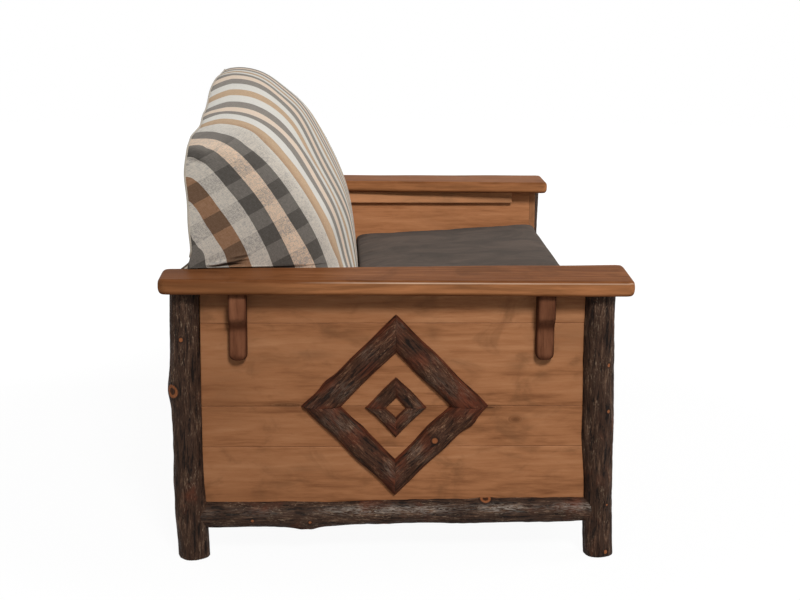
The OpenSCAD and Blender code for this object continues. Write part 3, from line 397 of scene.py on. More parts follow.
def bark_material(name, turn=(0, 0, 0), stretch=(1, 1, 0.12), warm=(1, 1, 1)):
    """Bark: furrows and ridge tops from noise stretched along the log, broken into plates by a second
    noise, with pale flecks and red-brown patches. The mesh marks pale fibres painted as a sheen, bare
    rims, ringed knots and sawn ends. The colour warm tints it."""
    logs = bpy.context.scene.loveseat_logs
    shade = Shader(name)

    def stretched(least):
        return shade.moved(shade.place, turn, tuple(max(share, least) for share in stretch))

    fibre = stretched(0)
    ridges = shade.noise(fibre, 165, 5, 0.60, 0.6)
    strands = shade.noise(stretched(0.20), 430, 3, 0.62, 1.2)
    plates = shade.noise(stretched(0.4), 38, 5, 0.6, 0.4)
    patches = shade.noise(shade.place, 9, 4, 0.6, 0.5)
    height = shade.scaled(strands, 0.45, shade.scaled(plates, 0.45, ridges))
    base = shade.ramp(shade.times(height, 0.526), [
        (0.425, logs.furrow), (0.485, logs.bark), (0.53, logs.bark), (0.60, logs.ridge)])
    fleck = shade.times(shade.grade(strands, 0.56, 0.68), shade.grade(plates, 0.46, 0.58))
    base = shade.mix(shade.times(fleck, 0.54), base, logs.fleck)
    fibres = shade.grade(shade.noise(fibre, 260, 3, 0.6, 2.2), 0.44, 0.62)
    # Painted sheen on the fibres where the mesh marks it.
    base = shade.mix(shade.times(shade.mark("worn"), fibres), base, logs.sheen)
    red = shade.times(shade.grade(patches, 0.52, 0.72), shade.grade(plates, 0.40, 0.62))
    base = shade.mix(shade.times(red, 0.7), base, logs.inner_bark)
    base = shade.mix(1.0, base, warm, "MULTIPLY")
    bare = shade.ramp(ridges, [(0.3, logs.furrow), (0.62, logs.inner_bark)])
    base = shade.mix(shade.mark("rim"), base, bare)
    knot = shade.mark("knot")
    grain = shade.noise(shade.place, 320, 3, 0.6)
    ringed = shade.times(shade.grade(knot, 0.30, 0.48), shade.scaled(grain, 0.8, 0.45))
    base = shade.mix(shade.times(shade.grade(knot, 0.10, 0.24), 0.6), base, logs.furrow)
    base = shade.mix(ringed, base, logs.knot)
    base = shade.mix(shade.times(shade.grade(knot, 0.66, 0.84), 0.85), base, logs.furrow)
    sawn = shade.mix(shade.noise(shade.place, 60), logs.end_grain, logs.bark)
    base = shade.mix(shade.mark("cut"), base, sawn)
    rough = shade.scaled(ridges, -0.35, 0.72)
    return shade.finish(base, rough, shade.bump(height, 0.0034), Specular_IOR_Level=0.10)


def wood_material(name, dark, mid, light, stretch, gloss, figure=1.0, spots=(), sides=None, painted_highlight=None,
                  shine=0.06, rear_shade=None, cloudy=0.52):
    """Wood: tone from wide noise stretched along the grain, rings, streaks and fine pores from narrower
    noise, a shift of tone from board to board, and clouds of a darker tone. Spots, each a place, a
    reach and a depth, darken it, and deep ones bend the grain. Sides, where the mesh marks them, take
    a tone of their own: painted light on the armrests' lighter sides, painted shade on the corbels'
    sides and hollows. The near armrest's upper edges may carry a pale line of painted highlight, and
    the tone may darken towards the rear as painted shade."""
    shade = Shader(name)
    board = shade.mark("board")
    shifted = shade.add("ShaderNodeCombineXYZ", {
        "X": board, "Y": shade.times(board, 7.3), "Z": shade.times(board, 3.1)}).outputs[0]
    place = shade.vector("ADD", shade.place, shifted)
    grain = shade.moved(place, scale=stretch)
    shadow = None
    for spot, reach, depth in spots:
        away = shade.vector("SUBTRACT", shade.place, spot)
        away = shade.vector("LENGTH", shade.vector("MULTIPLY", away, tuple(1 / r for r in reach)))
        stain = shade.times(shade.maths("SUBTRACT", 1.0, shade.grade(away, 0.0, 1.0)), depth)
        shadow = stain if shadow is None else shade.maths("MAXIMUM", shadow, stain)
    if shadow is not None:
        deep = shade.maths("MAXIMUM", shade.maths("SUBTRACT", shadow, 0.35), 0.0)
        bend = shade.add("ShaderNodeCombineXYZ", {"Z": shade.times(deep, 0.2)}).outputs[0]
        grain = shade.vector("ADD", grain, bend)
    wide = shade.noise(grain, 6.5 * figure, 5, 0.55, 0.8)
    rings = shade.noise(grain, 34 * figure, 5, 0.6, 0.9)
    streaks = shade.noise(grain, 120, 4, 0.6, 0.4)
    pores = shade.noise(grain, 520, 3, 0.6)
    value = shade.scaled(rings, 0.55, shade.times(wide, 0.6))
    value = shade.maths("SUBTRACT", shade.scaled(streaks, 0.38, value), 0.08)
    value = shade.scaled(shade.maths("SINE", shade.times(board, 23.0)), 0.035, value)
    base = shade.ramp(value, [(0.48, dark), (0.67, mid), (0.88, light)])
    cloud = shade.noise(shade.moved(place, scale=(0.6, 0.6, 1)), 12, 4, 0.62, 0.8)
    cloud = shade.times(shade.grade(cloud, 0.48, 0.70), cloudy)
    base = shade.mix(cloud, base, tinted(dark, (0.80, 0.92, 1.0)))
    # Painted light and shade: the marked sides take their own tone, lighter on the armrests and darker on
    # the corbels.
    if sides is not None:
        aside = [(0.50, tinted(sides, 0.62)), (0.66, sides), (0.84, tinted(sides, 1.35))]
        base = shade.mix(shade.mark("edge"), base, shade.ramp(value, aside))
    x, y, z = shade.parts(shade.place)
    # Painted shade: the tone darkens towards the rear, where less light falls.
    if rear_shade is not None:
        first, last, most = rear_shade
        base = shade.mix(shade.times(shade.grade(y, first, last), most), base, tinted(dark, 0.6))
    # Painted highlight: a pale line along the near armrest's upper edges, stronger towards the front,
    # stands in for light caught by the rounded edge.
    if painted_highlight is not None:
        edge = shade.mark("edge")
        line = shade.maths("SUBTRACT", shade.grade(edge, 0.01, 0.12), shade.grade(edge, 0.22, 0.62))
        line = shade.times(line, shade.grade(z, ARM_TOP - 0.016, ARM_TOP - 0.006))
        line = shade.times(line, shade.grade(x, 0.1, -0.1))
        some = shade.grade(shade.noise(shade.moved(shade.place, scale=(1, 0.5, 1)), 9, 2), 0.36, 0.62)
        ahead = shade.scaled(shade.grade(y, 0.24, -0.12), 0.52, -0.04)
        base = shade.mix(shade.times(line, shade.scaled(some, 0.18, ahead)), base, painted_highlight)
    base = shade.mix(shade.times(shade.grade(pores, 0.60, 0.78), 0.35), base, dark)
    if shadow is not None:
        base = shade.mix(shade.times(shadow, shade.grade(streaks, 0.25, 0.6)), base, tinted(dark, 0.35))
    normal = shade.bump(shade.scaled(pores, 0.5, streaks), 0.00025, 0.6)
    return shade.finish(base, shade.scaled(streaks, 0.16, gloss), normal, Specular_IOR_Level=shine)


def plaid_material():
    """Plaid: bands across from the UV map's first value, tone bands along from its second, flecked yarn
    in the light bands, and the over and under of the threads as bump. The mesh marks where the bands
    take darker copies of their tones as painted shade on the back's ends, against a paler front and
    top that stand for sheen (end); where the bands along them show, faded over the front and crown as
    painted sheen (cell); and the folds, darkened as painted shade."""
    cloth = bpy.context.scene.loveseat_upholstery
    width, thread = cloth.stripe_width, 0.0016
    dark, light, tan, peach = cloth.dark, cloth.light, cloth.tan, cloth.peach
    # Darker copies of the band tones: painted shade for the back's ends.
    shadow, oat = tinted(dark, 0.56), tinted(light, (0.85, 0.79, 0.73))
    brown, rose = tinted(tan, (0.50, 0.38, 0.32)), tinted(peach, (1, 0.90, 0.80))
    shade = Shader("plaid")
    weave = shade.add("ShaderNodeUVMap", uv_map="weave").outputs[0]
    parts = shade.parts(weave)
    fray = shade.scaled(shade.noise(weave, 420, 2), 0.0012, -0.0006)
    across, along = (shade.maths("ADD", part, fray) for part in parts[:2])
    repeat = shade.maths("FRACT", shade.times(across, 1 / (6 * width)))
    base, end = (shade.ramp(repeat, [(band / 6, yarn) for band, yarn in enumerate(bands)], "CONSTANT")
                 for bands in ((dark, light, tan, light, dark, peach),
                               (shadow, oat, brown, oat, shadow, rose)))
    # Painted shade on the ends; the front and top keep the paler tones as painted sheen.
    base = shade.mix(shade.mark("end"), base, end)
    threads_across = shade.noise(shade.moved(weave, scale=(0.16, 1, 1)), 640, 3, 0.7)
    threads_along = shade.noise(shade.moved(weave, scale=(1, 0.14, 1)), 640, 3, 0.7)
    pale = shade.maths("GREATER_THAN", shade.add("ShaderNodeSeparateColor", {0: base}).outputs[2], 0.25)
    band = shade.maths("GREATER_THAN", shade.maths("FRACT", shade.times(along, 0.5 / width)), 0.5)
    cell = shade.times(band, shade.mark("cell"))
    heather = shade.scaled(cell, 0.26, shade.scaled(shade.mark("end"), 0.40, 0.24))
    yarn = shade.scaled(shade.grade(threads_along, 0.42, 0.62), 0.70,
                        shade.times(shade.grade(threads_across, 0.42, 0.62), 0.70))
    fleck = shade.times(yarn, shade.maths("ADD", shade.times(pale, heather), 0.10))
    base = shade.mix(fleck, base, tinted(light, (0.36, 0.35, 0.36)))
    base = shade.mix(shade.times(cell, shade.scaled(pale, -0.42, 0.52)), base, tinted(dark, 0.12))
    # Painted shade: the folds' creases are darkened almost to black.
    base = shade.mix(shade.times(shade.mark("fold"), 0.85), base, tinted(tan, 0.06))
    slub = shade.scaled(threads_along, 0.75, shade.scaled(threads_across, 0.65, 0.34))
    slub = shade.add("ShaderNodeCombineColor", {0: slub, 1: slub, 2: slub}).outputs[0]
    base = shade.mix(1.0, base, slub, "MULTIPLY")
    warp, weft = (shade.maths("SINE", shade.times(part, 2 * math.pi / thread)) for part in parts[:2])
    normal = shade.bump(shade.scaled(threads_across, 1.2, shade.times(warp, weft)), 0.0004, 0.55)
    return shade.finish(base, 0.92, normal, Specular_IOR_Level=0.02, Sheen_Weight=0.05, Sheen_Roughness=0.5)


def suede_material():
    """Suede: clouds of brushed nap between two near tones, with a fine fibre bump and a soft sheen."""
    cloth = bpy.context.scene.loveseat_upholstery
    shade = Shader("suede")
    nap = shade.noise(shade.moved(shade.place, scale=(1, 0.6, 1)), 11, 5, 0.62, 1.2)
    fibre = shade.noise(shade.place, 1400, 3, 0.7)
    base = shade.ramp(nap, [(0.36, cloth.suede), (0.66, cloth.suede_light)])
    base = shade.mix(shade.times(shade.grade(fibre, 0.5, 0.75), 0.25), base, tinted(cloth.suede, 0.7))
    normal = shade.bump(shade.scaled(nap, 1.5, fibre), 0.0004, 0.5)
    return shade.finish(base, 0.92, normal, Specular_IOR_Level=0.02, Sheen_Weight=0.03, Sheen_Roughness=0.5)


def cloth_material(name, yarn, thread):
    """Plain woven cloth: two crossed sets of threads as bump, with uneven tone."""
    shade = Shader(name)
    parts = shade.parts(shade.place)
    step = 2 * math.pi / thread
    over = shade.times(*(shade.maths("SINE", shade.times(parts[axis], step)) for axis in (0, 2)))
    uneven = shade.noise(shade.place, 240, 3, 0.6)
    base = shade.mix(shade.times(uneven, 0.4), yarn, tinted(yarn, 0.6))
    return shade.finish(base, 0.85, shade.bump(over, 0.0004, 0.5), Specular_IOR_Level=0.2, Sheen_Weight=0.2)


def steel_material():
    """Zinc-plated steel with fine scratches."""
    shade = Shader("zinc_plated_steel")
    scratch = shade.noise(shade.moved(shade.place, scale=(1, 1, 0.1)), 800, 3, 0.6)
    base = shade.ramp(scratch, [(0.3, (0.42, 0.42, 0.41)), (0.7, (0.62, 0.62, 0.60))])
    rough = shade.scaled(scratch, 0.2, 0.28)
    return shade.finish(base, rough, shade.bump(scratch, 0.0001, 0.4), Metallic=1.0)


def dress(names, material):
    """Gives CAD nodes a material in their own slots."""
    for name in names:
        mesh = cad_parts[name].data
        mesh.materials.clear()
        mesh.materials.append(material)


# Logs

def log_skin(start, axes, length, radius, sway, seed, knots, worn=None, around=144, step=0.004):
    """Log along the last of three axes from its start. With angle v around and distance u along, the
    radius is a straight taper plus soft swellings, plus ridges from the size of a sum of long waves,
    plus a raised rim with a hollow at each knot. The middle line shifts along the second axis by
    sway(u). A sawn end rounds over and closes on the middle line. Pale fibres are painted as a sheen
    in a strip at the given angle, weaker towards the log's far end."""
    logs = bpy.context.scene.loveseat_logs
    eased, tip = 0.003, 0.0004
    closing = np.array([0.35, 0.7, 0.95])
    body = np.linspace(eased, length - eased, int(length / step))
    u = np.concatenate([np.zeros(3), [tip], body, [length - tip], np.full(3, length)])
    share = np.concatenate([closing, [0.975], np.ones(len(body)), [0.975], closing[::-1]])
    cut = np.concatenate([np.ones(3), [0.0], np.zeros(len(body)), [0.0], np.ones(3)])
    v = np.linspace(0, 2 * np.pi, around, endpoint=False)
    u, v = np.meshgrid(u, v, indexing="ij")
    ridge = np.abs(waves(u, v, seed, 16, (14, 30), (0.5, 6))) ** 0.8
    fine = waves(u, v, seed + 50, 12, (20, 44), (8, 26))
    lobes = waves(u, v, seed + 100, 8, (1, 4), (1.2, 5.5))
    distance = radius[0] + (radius[1] - radius[0]) * u / length + logs.lobe_height * lobes
    distance = distance + logs.ridge_height * (ridge - 0.8) + 0.3 * logs.ridge_height * fine
    eye = np.zeros_like(u)
    for place, angle, height, reach in knots:
        turn = (v - math.radians(angle) + np.pi) % (2 * np.pi) - np.pi
        off = np.hypot(u - place, turn * radius[0]) / reach
        distance = distance + height * (bell(off / 1.6) - 0.55 * bell(off / 0.55))
        eye = np.maximum(eye, (1.0 if reach > 0.012 else 0.62) * bell(off / 0.75))
    distance = distance * share[:, None]
    shift = sway(u / length)
    first, second, third = (np.array(axis, float) for axis in axes)
    rings = (np.array(start) + u[..., None] * third + distance[..., None] * (
        np.cos(v)[..., None] * first + np.sin(v)[..., None] * second) + shift[..., None] * second)
    # Painted sheen: pale fibres in a strip at the given angle, weaker towards the far end.
    painted_highlight = 0.0
    if worn is not None:
        aside = (v - math.radians(worn) + np.pi) % (2 * np.pi) - np.pi
        patchy = smooth(0.75 + 0.35 * waves(u, 0 * v, seed + 7, 6, (0, 0), (1, 6)))
        painted_highlight = 0.66 * bell(aside / 0.31) * patchy * (0.35 + 0.65 * smooth((0.72 - u / length) / 0.15))
    return skin(rings, knot=eye, cut=np.repeat(cut[:, None], around, 1), rim=0.0, worn=painted_highlight)


# Post: radius at the floor and at the top beyond the set radius, lean, bow, seed, then its knots as
# height, angle, height of the bump, reach
POSTS = {
    ("right", "front"): ((-0.001, 0.001), 0.014, 0.003, 1, [
        (0.438, 216, 0.4, 0.0080), (0.012, 205, 0.3, 0.0090), (0.335, 214, 0.6, 0.0075),
        (0.520, 60, 0.7, 0.010), (0.122, 208, 0.3, 0.0050)]),
    ("right", "rear"): ((0.0015, -0.003), 0.011, 0.0045, 2, [
        (0.382, 134, 2.0, 0.0200), (0.497, 170, 0.4, 0.0090), (0.255, 60, 0.8, 0.011)]),
    ("left", "front"): ((0.0, 0.0005), -0.013, -0.002, 3, [
        (0.420, 20, 0.8, 0.010), (0.200, 320, 0.6, 0.009), (0.330, 250, 0.9, 0.012)]),
    ("left", "rear"): ((0.001, -0.0015), 0.006, -0.004, 4, [
        (0.355, 60, 1.0, 0.011), (0.470, 350, 0.6, 0.009), (0.250, 120, 0.7, 0.010)])}
POST_IN = 0.0645             # armrest's outer edge to the middle of a post
POST_ENDS = 0.058, 0.957     # middles of the posts at rail height, from the armrest's front end
RAIL_Z = 0.099               # height of the middle of the rail logs
RAIL_IN = 0.016              # depth of a rail's ends inside the posts


class LOVESEAT_OT_posts(bpy.types.Operator):
    """Four posts, each a log that stands on its sawn end"""
    bl_idname = "loveseat.posts"
    bl_label = "Posts"

    def execute(self, context):
        logs = context.scene.loveseat_logs
        bark = bark_material("bark_upright")
        for (side, end), (taper, lean, bow, seed, knots) in POSTS.items():
            rail_share = RAIL_Z / ARM_UNDER

            def sway(t):
                """Lean and bow of the middle line at a share of the height, none at the rails."""
                return lean * (t - rail_share) + bow * (np.sin(np.pi * t) - math.sin(math.pi * rail_share))

            place = FRONT + POST_ENDS[end == "rear"]
            start = (SIDES[side] * (HALF_W - POST_IN), place, 0)
            axes = ((1, 0, 0), (0, 1, 0), (0, 0, 1))
            radius = [logs.post_radius + extra for extra in taper]
            eyes = [(z, angle, height * logs.knot_height, reach) for z, angle, height, reach in knots]
            post = log_skin(start, axes, ARM_UNDER, radius, sway, seed, eyes)
            piece("%s_%s_post_log" % (side, end), [post], bark, ["%s_%s_post" % (side, end)])
        return {"FINISHED"}


class LOVESEAT_OT_rails(bpy.types.Operator):
    """Log rails: one low on each arm, and two between the arms"""
    bl_idname = "loveseat.rails"
    bl_label = "Log rails"

    def execute(self, context):
        logs = context.scene.loveseat_logs
        fall = 0.011 / (POST_ENDS[1] - POST_ENDS[0])
        knot = logs.knot_height
        along_y = bark_material("bark_side_rail", stretch=(1, 0.12, 1))
        radius = [logs.rail_radius - MM, logs.rail_radius]
        for side, sign in SIDES.items():
            bow = 0.0015 if side == "right" else -0.0015
            start = (sign * (HALF_W - POST_IN), FRONT + POST_ENDS[0] + RAIL_IN, RAIL_Z + 0.006)
            length = POST_ENDS[1] - POST_ENDS[0] - 2 * RAIL_IN
            out = 180 if side == "left" else 0
            knots = [(0.748, 256 + out, 0.3 * knot, 0.007), (0.622, 244 + out, 0.3 * knot, 0.006),
                     (0.630, 190 + out, 1.6 * knot, 0.015), (0.46, 200 + out, 0.6 * knot, 0.014),
                     (0.10, 60 + out, 0.5 * knot, 0.010), (0.235, 340 + out, 1.0 * knot, 0.016)]
            axes = (0, 0, 1), (1, 0, 0), (0, math.cos(fall), -math.sin(fall))
            # The strip of painted sheen lies up and outwards on each side rail.
            rail = log_skin(start, axes, length, radius, lambda t, bow=bow: bow * np.sin(np.pi * t),
                            6 if side == "right" else 8, knots, worn=65 if side == "left" else 295)
            piece(side + "_side_rail_log", [rail], along_y, [side + "_side_rail"])
        along_x = bark_material("bark_cross_rail", stretch=(0.12, 1, 1))
        for end, seed in (("front", 5), ("rear", 7)):
            start = (-HALF_W + POST_IN + RAIL_IN, FRONT + POST_ENDS[end == "rear"], RAIL_Z)
            length = 2 * (HALF_W - POST_IN) - 2 * RAIL_IN
            knots = [(0.26, 200, knot, 0.011), (0.61, 80, 0.8 * knot, 0.010), (0.9, 190, 0.6 * knot, 0.009),
                     (1.29, 250, knot, 0.012), (1.08, 20, 0.7 * knot, 0.010)]
            rail = log_skin(start, ((0, 1, 0), (0, 0, 1), (1, 0, 0)), length, radius, lambda t: 0 * t,
                            seed, knots, step=0.005, around=128)
            piece(end + "_log_rail_log", [rail], along_x, [end + "_log_rail"])
        return {"FINISHED"}


# Diamonds

def twig_skin(side, turn, shift, half, width, height, seed, bumps, knots, around=72, step=0.0035):
    """Split log on the panel, one side of a diamond. Across it, its height is a circle segment with
    bark ridges; along it, each line of points runs between the two mitre planes, so that its length
    grows from the diamond's inside to its outside. Its outer edge wanders and swells at the bumps."""
    logs = bpy.context.scene.loveseat_logs
    length = half * math.sqrt(2)
    bend = (width * width / 4 + height * height) / (2 * height)
    spread = math.asin(width / 2 / bend)
    under = around // 4
    angle = np.linspace(-spread, spread, around - under)
    across = np.concatenate([bend * np.sin(angle), np.linspace(width / 2, -width / 2, under + 2)[1:-1]])
    rise = np.concatenate([height - bend + bend * np.cos(angle), np.zeros(under)])
    body = np.linspace(0.985, -0.985, int(length / step))
    lead = np.concatenate([[1, 1, 1, 0.9985], body, [-0.9985, -1, -1, -1]])
    shut = np.concatenate([[0.35, 0.7, 0.985], np.ones(len(lead) - 6), [0.985, 0.7, 0.35]])
    lead, across = np.meshgrid(lead, across, indexing="ij")
    rise = np.broadcast_to(rise, lead.shape).copy()
    top = rise > 1e-6
    reach = length / 2 - MITRE_GAP - (width / 2 - across)
    along = lead * reach
    circle = np.arctan2(rise, across)
    ridge = np.abs(waves(along, circle, seed, 14, (10, 26), (1, 8))) ** 0.8
    swell = waves(along, circle, seed + 30, 7, (0, 2), (2.5, 9))
    grow = np.zeros_like(along)
    for place, wide, height_of, edge in bumps:
        grow = grow + height_of * bell((along - place) / wide) * smooth(0.5 + edge * across / width * 1.6)
    swell_size = logs.lobe_height * 0.9 * swell + logs.ridge_height * (ridge - 0.8)
    scale = 1 + np.where(top, (swell_size + grow * 0.6) / (width / 2), 0)
    edge_share = np.clip(np.abs(across) / (width / 2), 0, 1)
    side_scale = 1 + (grow + 0.7 * logs.lobe_height * swell) / (width / 2) * edge_share
    eye = np.zeros_like(along)
    for place, offset, bump, size_of in knots:
        off = np.hypot(along - place, across - offset) / size_of
        rise = rise + np.where(top, bump * (bell(off / 1.7) - 0.5 * bell(off / 0.6)), 0)
        eye = np.maximum(eye, 0.62 * bell(off / 0.75))
    rise = rise * scale * (1 - 0.02 * smooth((np.abs(lead) - 0.95) / 0.05))
    across = across * side_scale
    centre = across * shut[:, None]
    mid_rise = rise * shut[:, None] + (1 - shut[:, None]) * height * 0.35
    along = np.where(shut[:, None] < 1, lead * (length / 2 - MITRE_GAP - (width / 2 - centre)), along)
    sign = SIDES[side]
    out = np.array([0, math.cos(turn), math.sin(turn)])
    line = np.array([0, -math.sin(turn), math.cos(turn)])
    middle = np.array([sign * PANEL_X, shift[0], DIAMOND_Z + shift[1]])
    rings = (middle + (length / 2 - width / 2 + centre)[..., None] * out + along[..., None] * line
             + mid_rise[..., None] * np.array([sign, 0, 0]))
    low = 1 - smooth((rise - 0.15 * height) / (0.45 * height))
    patch = smooth(waves(along, circle, seed + 60, 6, (0, 2), (4, 16)) * 0.6 - 0.1)
    rim = np.clip(0.9 * low + 0.35 * smooth((np.abs(lead) - 0.72) / 0.28) + 0.62 * patch, 0, 1)
    # Painted highlight: pale fibres along the twig's top, away from its low sides.
    lit = waves(along, circle * 0.5, seed + 80, 6, (0, 2), (3, 12))
    painted_highlight = 0.20 * (1 - low) * smooth(0.2 + 0.5 * lit)
    return skin(rings, knot=eye, cut=0.0, rim=rim, worn=painted_highlight)


# Bumps: place along, length, height and edge (1 outer, -1 inner). Knots: place along and across,
# height, reach. By the twig's direction: 0 rear and up, 1 front and up, 2 front and down, 3 rear and down
TWIG_BUMPS = {0: [(-0.070, 0.020, 0.0050, 1), (0.02, 0.03, 0.001, 1)], 1: [(0.03, 0.03, 0.0012, 1)],
              2: [(-0.090, 0.022, 0.0080, 1), (-0.02, 0.03, 0.0015, -1)], 3: [(0.02, 0.018, 0.0020, -1)]}
TWIG_KNOTS = {2: [(-0.010, -0.003, 0.0060, 0.0120)]}
MITRE_GAP = 0.0001           # from a mitre plane to a twig's end


# Diamond: shift of its middle rearwards and upwards, distance from there to a corner, width and height
# of its split logs, and the first number that their bark is drawn from
DIAMONDS = {"outer": ((0.0015, -0.0025), 0.2035, 0.0595, 0.025, 3),
            "inner": ((0.0, -0.0055), 0.067, 0.031, 0.015, 11)}


class LOVESEAT_OT_diamonds(bpy.types.Operator):
    """Outer and inner diamond of mitred split logs on each arm"""
    bl_idname = "loveseat.diamonds"
    bl_label = "Diamonds"

    def execute(self, context):
        rising, falling = (
            bark_material(name, (math.radians(turn), 0, 0), (1, 0.12, 1), warm=(1.12, 0.93, 0.82))
            for name, turn in (("bark_rising", -45), ("bark_falling", 45)))
        for side in SIDES:
            for name, (*shape, first) in DIAMONDS.items():
                bumps, knots = (TWIG_BUMPS, TWIG_KNOTS) if name == "outer" else ({}, {})
                skins = [twig_skin(side, math.radians(45 + 90 * turn), *shape,
                                   20 * turn + first + (0 if side == "right" else 5),
                                   bumps.get(turn, ()), knots.get(turn, ())) for turn in range(4)]
                node = "%s_%s_diamond" % (side, name)
                made = piece(node + "_bark", skins, falling, [node])
                made.data.materials.append(rising)
                starts = np.cumsum([0] + [len(shell[1]) + len(shell[2]) for shell in skins])
                index = np.zeros(starts[-1], dtype=np.int32)
                for turn in (1, 3):
                    index[starts[turn]:starts[turn + 1]] = 1
                made.data.polygons.foreach_set("material_index", index)
        return {"FINISHED"}


# Boards

SEAMS = 0.25, 0.342, 0.527   # heights of the seams between the outer panel's boards
# Stains and knots of the near panel, and a wide shallow spot that darkens its rear end: place and
# reach along it and upwards, and depth
STAINS = (
    ((0.232, 0.345), (0.075, 0.010), 0.9), ((-0.205, 0.338), (0.05, 0.012), 0.9),
    ((-0.262, 0.310), (0.040, 0.022), 0.6), ((-0.262, 0.432), (0.035, 0.030), 0.35),
    ((0.20, 0.20), (0.05, 0.018), 0.3), ((0.37, 0.37), (0.10, 0.12), 0.22),
    ((0.18, 0.457), (0.07, 0.018), 0.34), ((-0.08, 0.505), (0.030, 0.030), 0.34),
    ((0.14, 0.500), (0.045, 0.022), 0.28), ((-0.37, 0.500), (0.10, 0.06), 0.26))


class LOVESEAT_OT_panels(bpy.types.Operator):
    """Outer panels of four boards, inner panels with their edge strips, and the aprons"""
    bl_idname = "loveseat.panels"
    bl_label = "Panels"

    def execute(self, context):
        wood = context.scene.loveseat_wood
        tones = wood.panel_dark, wood.panel_mid, wood.panel_light
        spots = [((-PANEL_X, *place), (0.05, *reach), depth) for place, reach, depth in STAINS]
        # The boards darken towards the rear as painted shade.
        boards = wood_material("panel_boards", *tones, stretch=(1, 0.10, 1), gloss=0.36, spots=spots,
                               rear_shade=(-0.30, 0.45, 0.26))
        plain = wood_material("panel_plywood", *(tinted(shade, 1.40) for shade in tones),
                              stretch=(1, 0.09, 1), gloss=0.38, figure=0.8, cloudy=0.15)
        cross = wood_material("apron_boards", *tones, stretch=(0.10, 1, 1), gloss=0.38)
        upright = wood_material("edge_strips", *tones, stretch=(1, 1, 0.10), gloss=0.38)
        ease = wood.edge_round
        for side in SIDES:
            low, high = box(side + "_outer_panel")
            edges = [low[2], *SEAMS, high[2]]
            skins = [plank((low[0], low[1], edges[i]), (high[0], high[1], edges[i + 1]), 1, 0.0020,
                           i + (1 if side == "right" else 6)) for i in range(4)]
            piece(side + "_outer_panel_boards", skins, boards, [side + "_outer_panel"])
            for node, axis, material in (("inner_panel", 1, plain), ("edge_strip", 2, upright)):
                name = side + "_" + node
                low, high = box(name)
                piece(name + "_board", [plank(low, high, axis, ease, 3)], material, [name])
        for name in ("front_apron", "rear_apron"):
            low, high = box(name)
            piece(name + "_board", [plank(low, high, 0, ease, 4)], cross, [name])
        return {"FINISHED"}


def armrest_skin(side, radius, seed):
    """Armrest: a rounded bar section carried from front to rear. Its outer side is straight and its
    inner side tapers; near each end both sides follow a quarter circle in plan and the thickness a
    quarter circle in elevation. Hand-sanded edges wander by a slow sum of waves, and towards the front
    the outer edge dips in proportion to the distance from the rear and from the inner edge."""
    corner = 0.022
    length = REAR - FRONT
    thick = ARM_TOP - ARM_UNDER
    near = corner * (1 - np.cos(np.radians(np.linspace(0, 90, 12))))
    stations = np.concatenate([near, np.linspace(corner + 0.01, length - corner - 0.01, 70),
                               length - near[::-1]])
    gap = np.minimum(stations, length - stations)
    plan = corner - np.sqrt(np.maximum(corner ** 2 - np.maximum(corner - gap, 0) ** 2, 0))
    half_t = thick / 2 - radius + np.sqrt(np.maximum(radius ** 2 - np.maximum(radius - gap, 0) ** 2, 0))
    width = ARM_FRONT_W + (ARM_REAR_W - ARM_FRONT_W) * stations / length
    half_w = width / 2 - plan
    fillet = np.minimum(radius, half_t)
    quarter = np.radians(np.linspace(0, 90, 8))
    flat = np.linspace(0.01, 0.99, 9)
    columns = []
    for turn, (sx, sz) in enumerate(((1, 1), (-1, 1), (-1, -1), (1, -1))):
        angle = quarter + math.radians(90 * turn)
        x = sx * (half_w - fillet)[:, None] + fillet[:, None] * np.cos(angle)
        z = sz * (half_t - fillet)[:, None] + fillet[:, None] * np.sin(angle)
        columns.append((x, z, np.sin(angle) * sz if turn in (0, 1) else -np.sin(angle) * sz))
        if turn in (0, 2):
            x = sx * (half_w - fillet)[:, None] * (1 - 2 * flat)
            columns.append((x, np.repeat((sz * half_t)[:, None], len(flat), 1), np.ones(len(flat))))
        else:
            z = sz * (half_t - fillet)[:, None] * (1 - 2 * flat[[0, 4, 8]])
            columns.append((np.repeat((sx * half_w)[:, None], 3, 1), z, np.zeros(3)))
    x = np.hstack([c[0] for c in columns])
    z = np.hstack([c[1] for c in columns])
    edge = 1 - smooth(np.abs(np.concatenate([c[2] for c in columns])) * 1.3)
    y = np.repeat(stations[:, None], x.shape[1], 1)
    around = np.arctan2(z / thick, x / ARM_FRONT_W)
    drift = 0.00035 * waves(y, around, seed, 9, (1, 3), (1.0, 5.0))
    x = x * (1 + drift / 0.08) + (width / 2)[:, None]
    z = z * (1 + drift / 0.03)
    inset = np.concatenate([[0.6, 0.9], np.ones(len(stations)), [0.9, 0.6]])
    pick = np.concatenate([[0, 0], np.arange(len(stations)), [len(stations) - 1] * 2])
    x, y, z = x[pick], y[pick], z[pick]
    middle = x.mean(1, keepdims=True)
    x = middle + (x - middle) * inset[:, None]
    z = z * inset[:, None]
    sign = SIDES[side]
    dip = 0.0065 if side == "right" else 0.0
    z = z - dip * (0.2 + 0.8 * (1 - y / length)) * np.clip(1 - x / 0.150, 0, 1)
    rings = np.stack([sign * (HALF_W - x), FRONT + y, (ARM_UNDER + ARM_TOP) / 2 + z], -1)
    at_end = 1 - smooth(np.minimum(y, length - y) / 0.004)
    # The edge mark, 1 on the sides and at the ends, gives them the lighter side tone as painted light.
    return skin(rings, board=seed * 0.61, edge=np.maximum(edge[None], at_end))


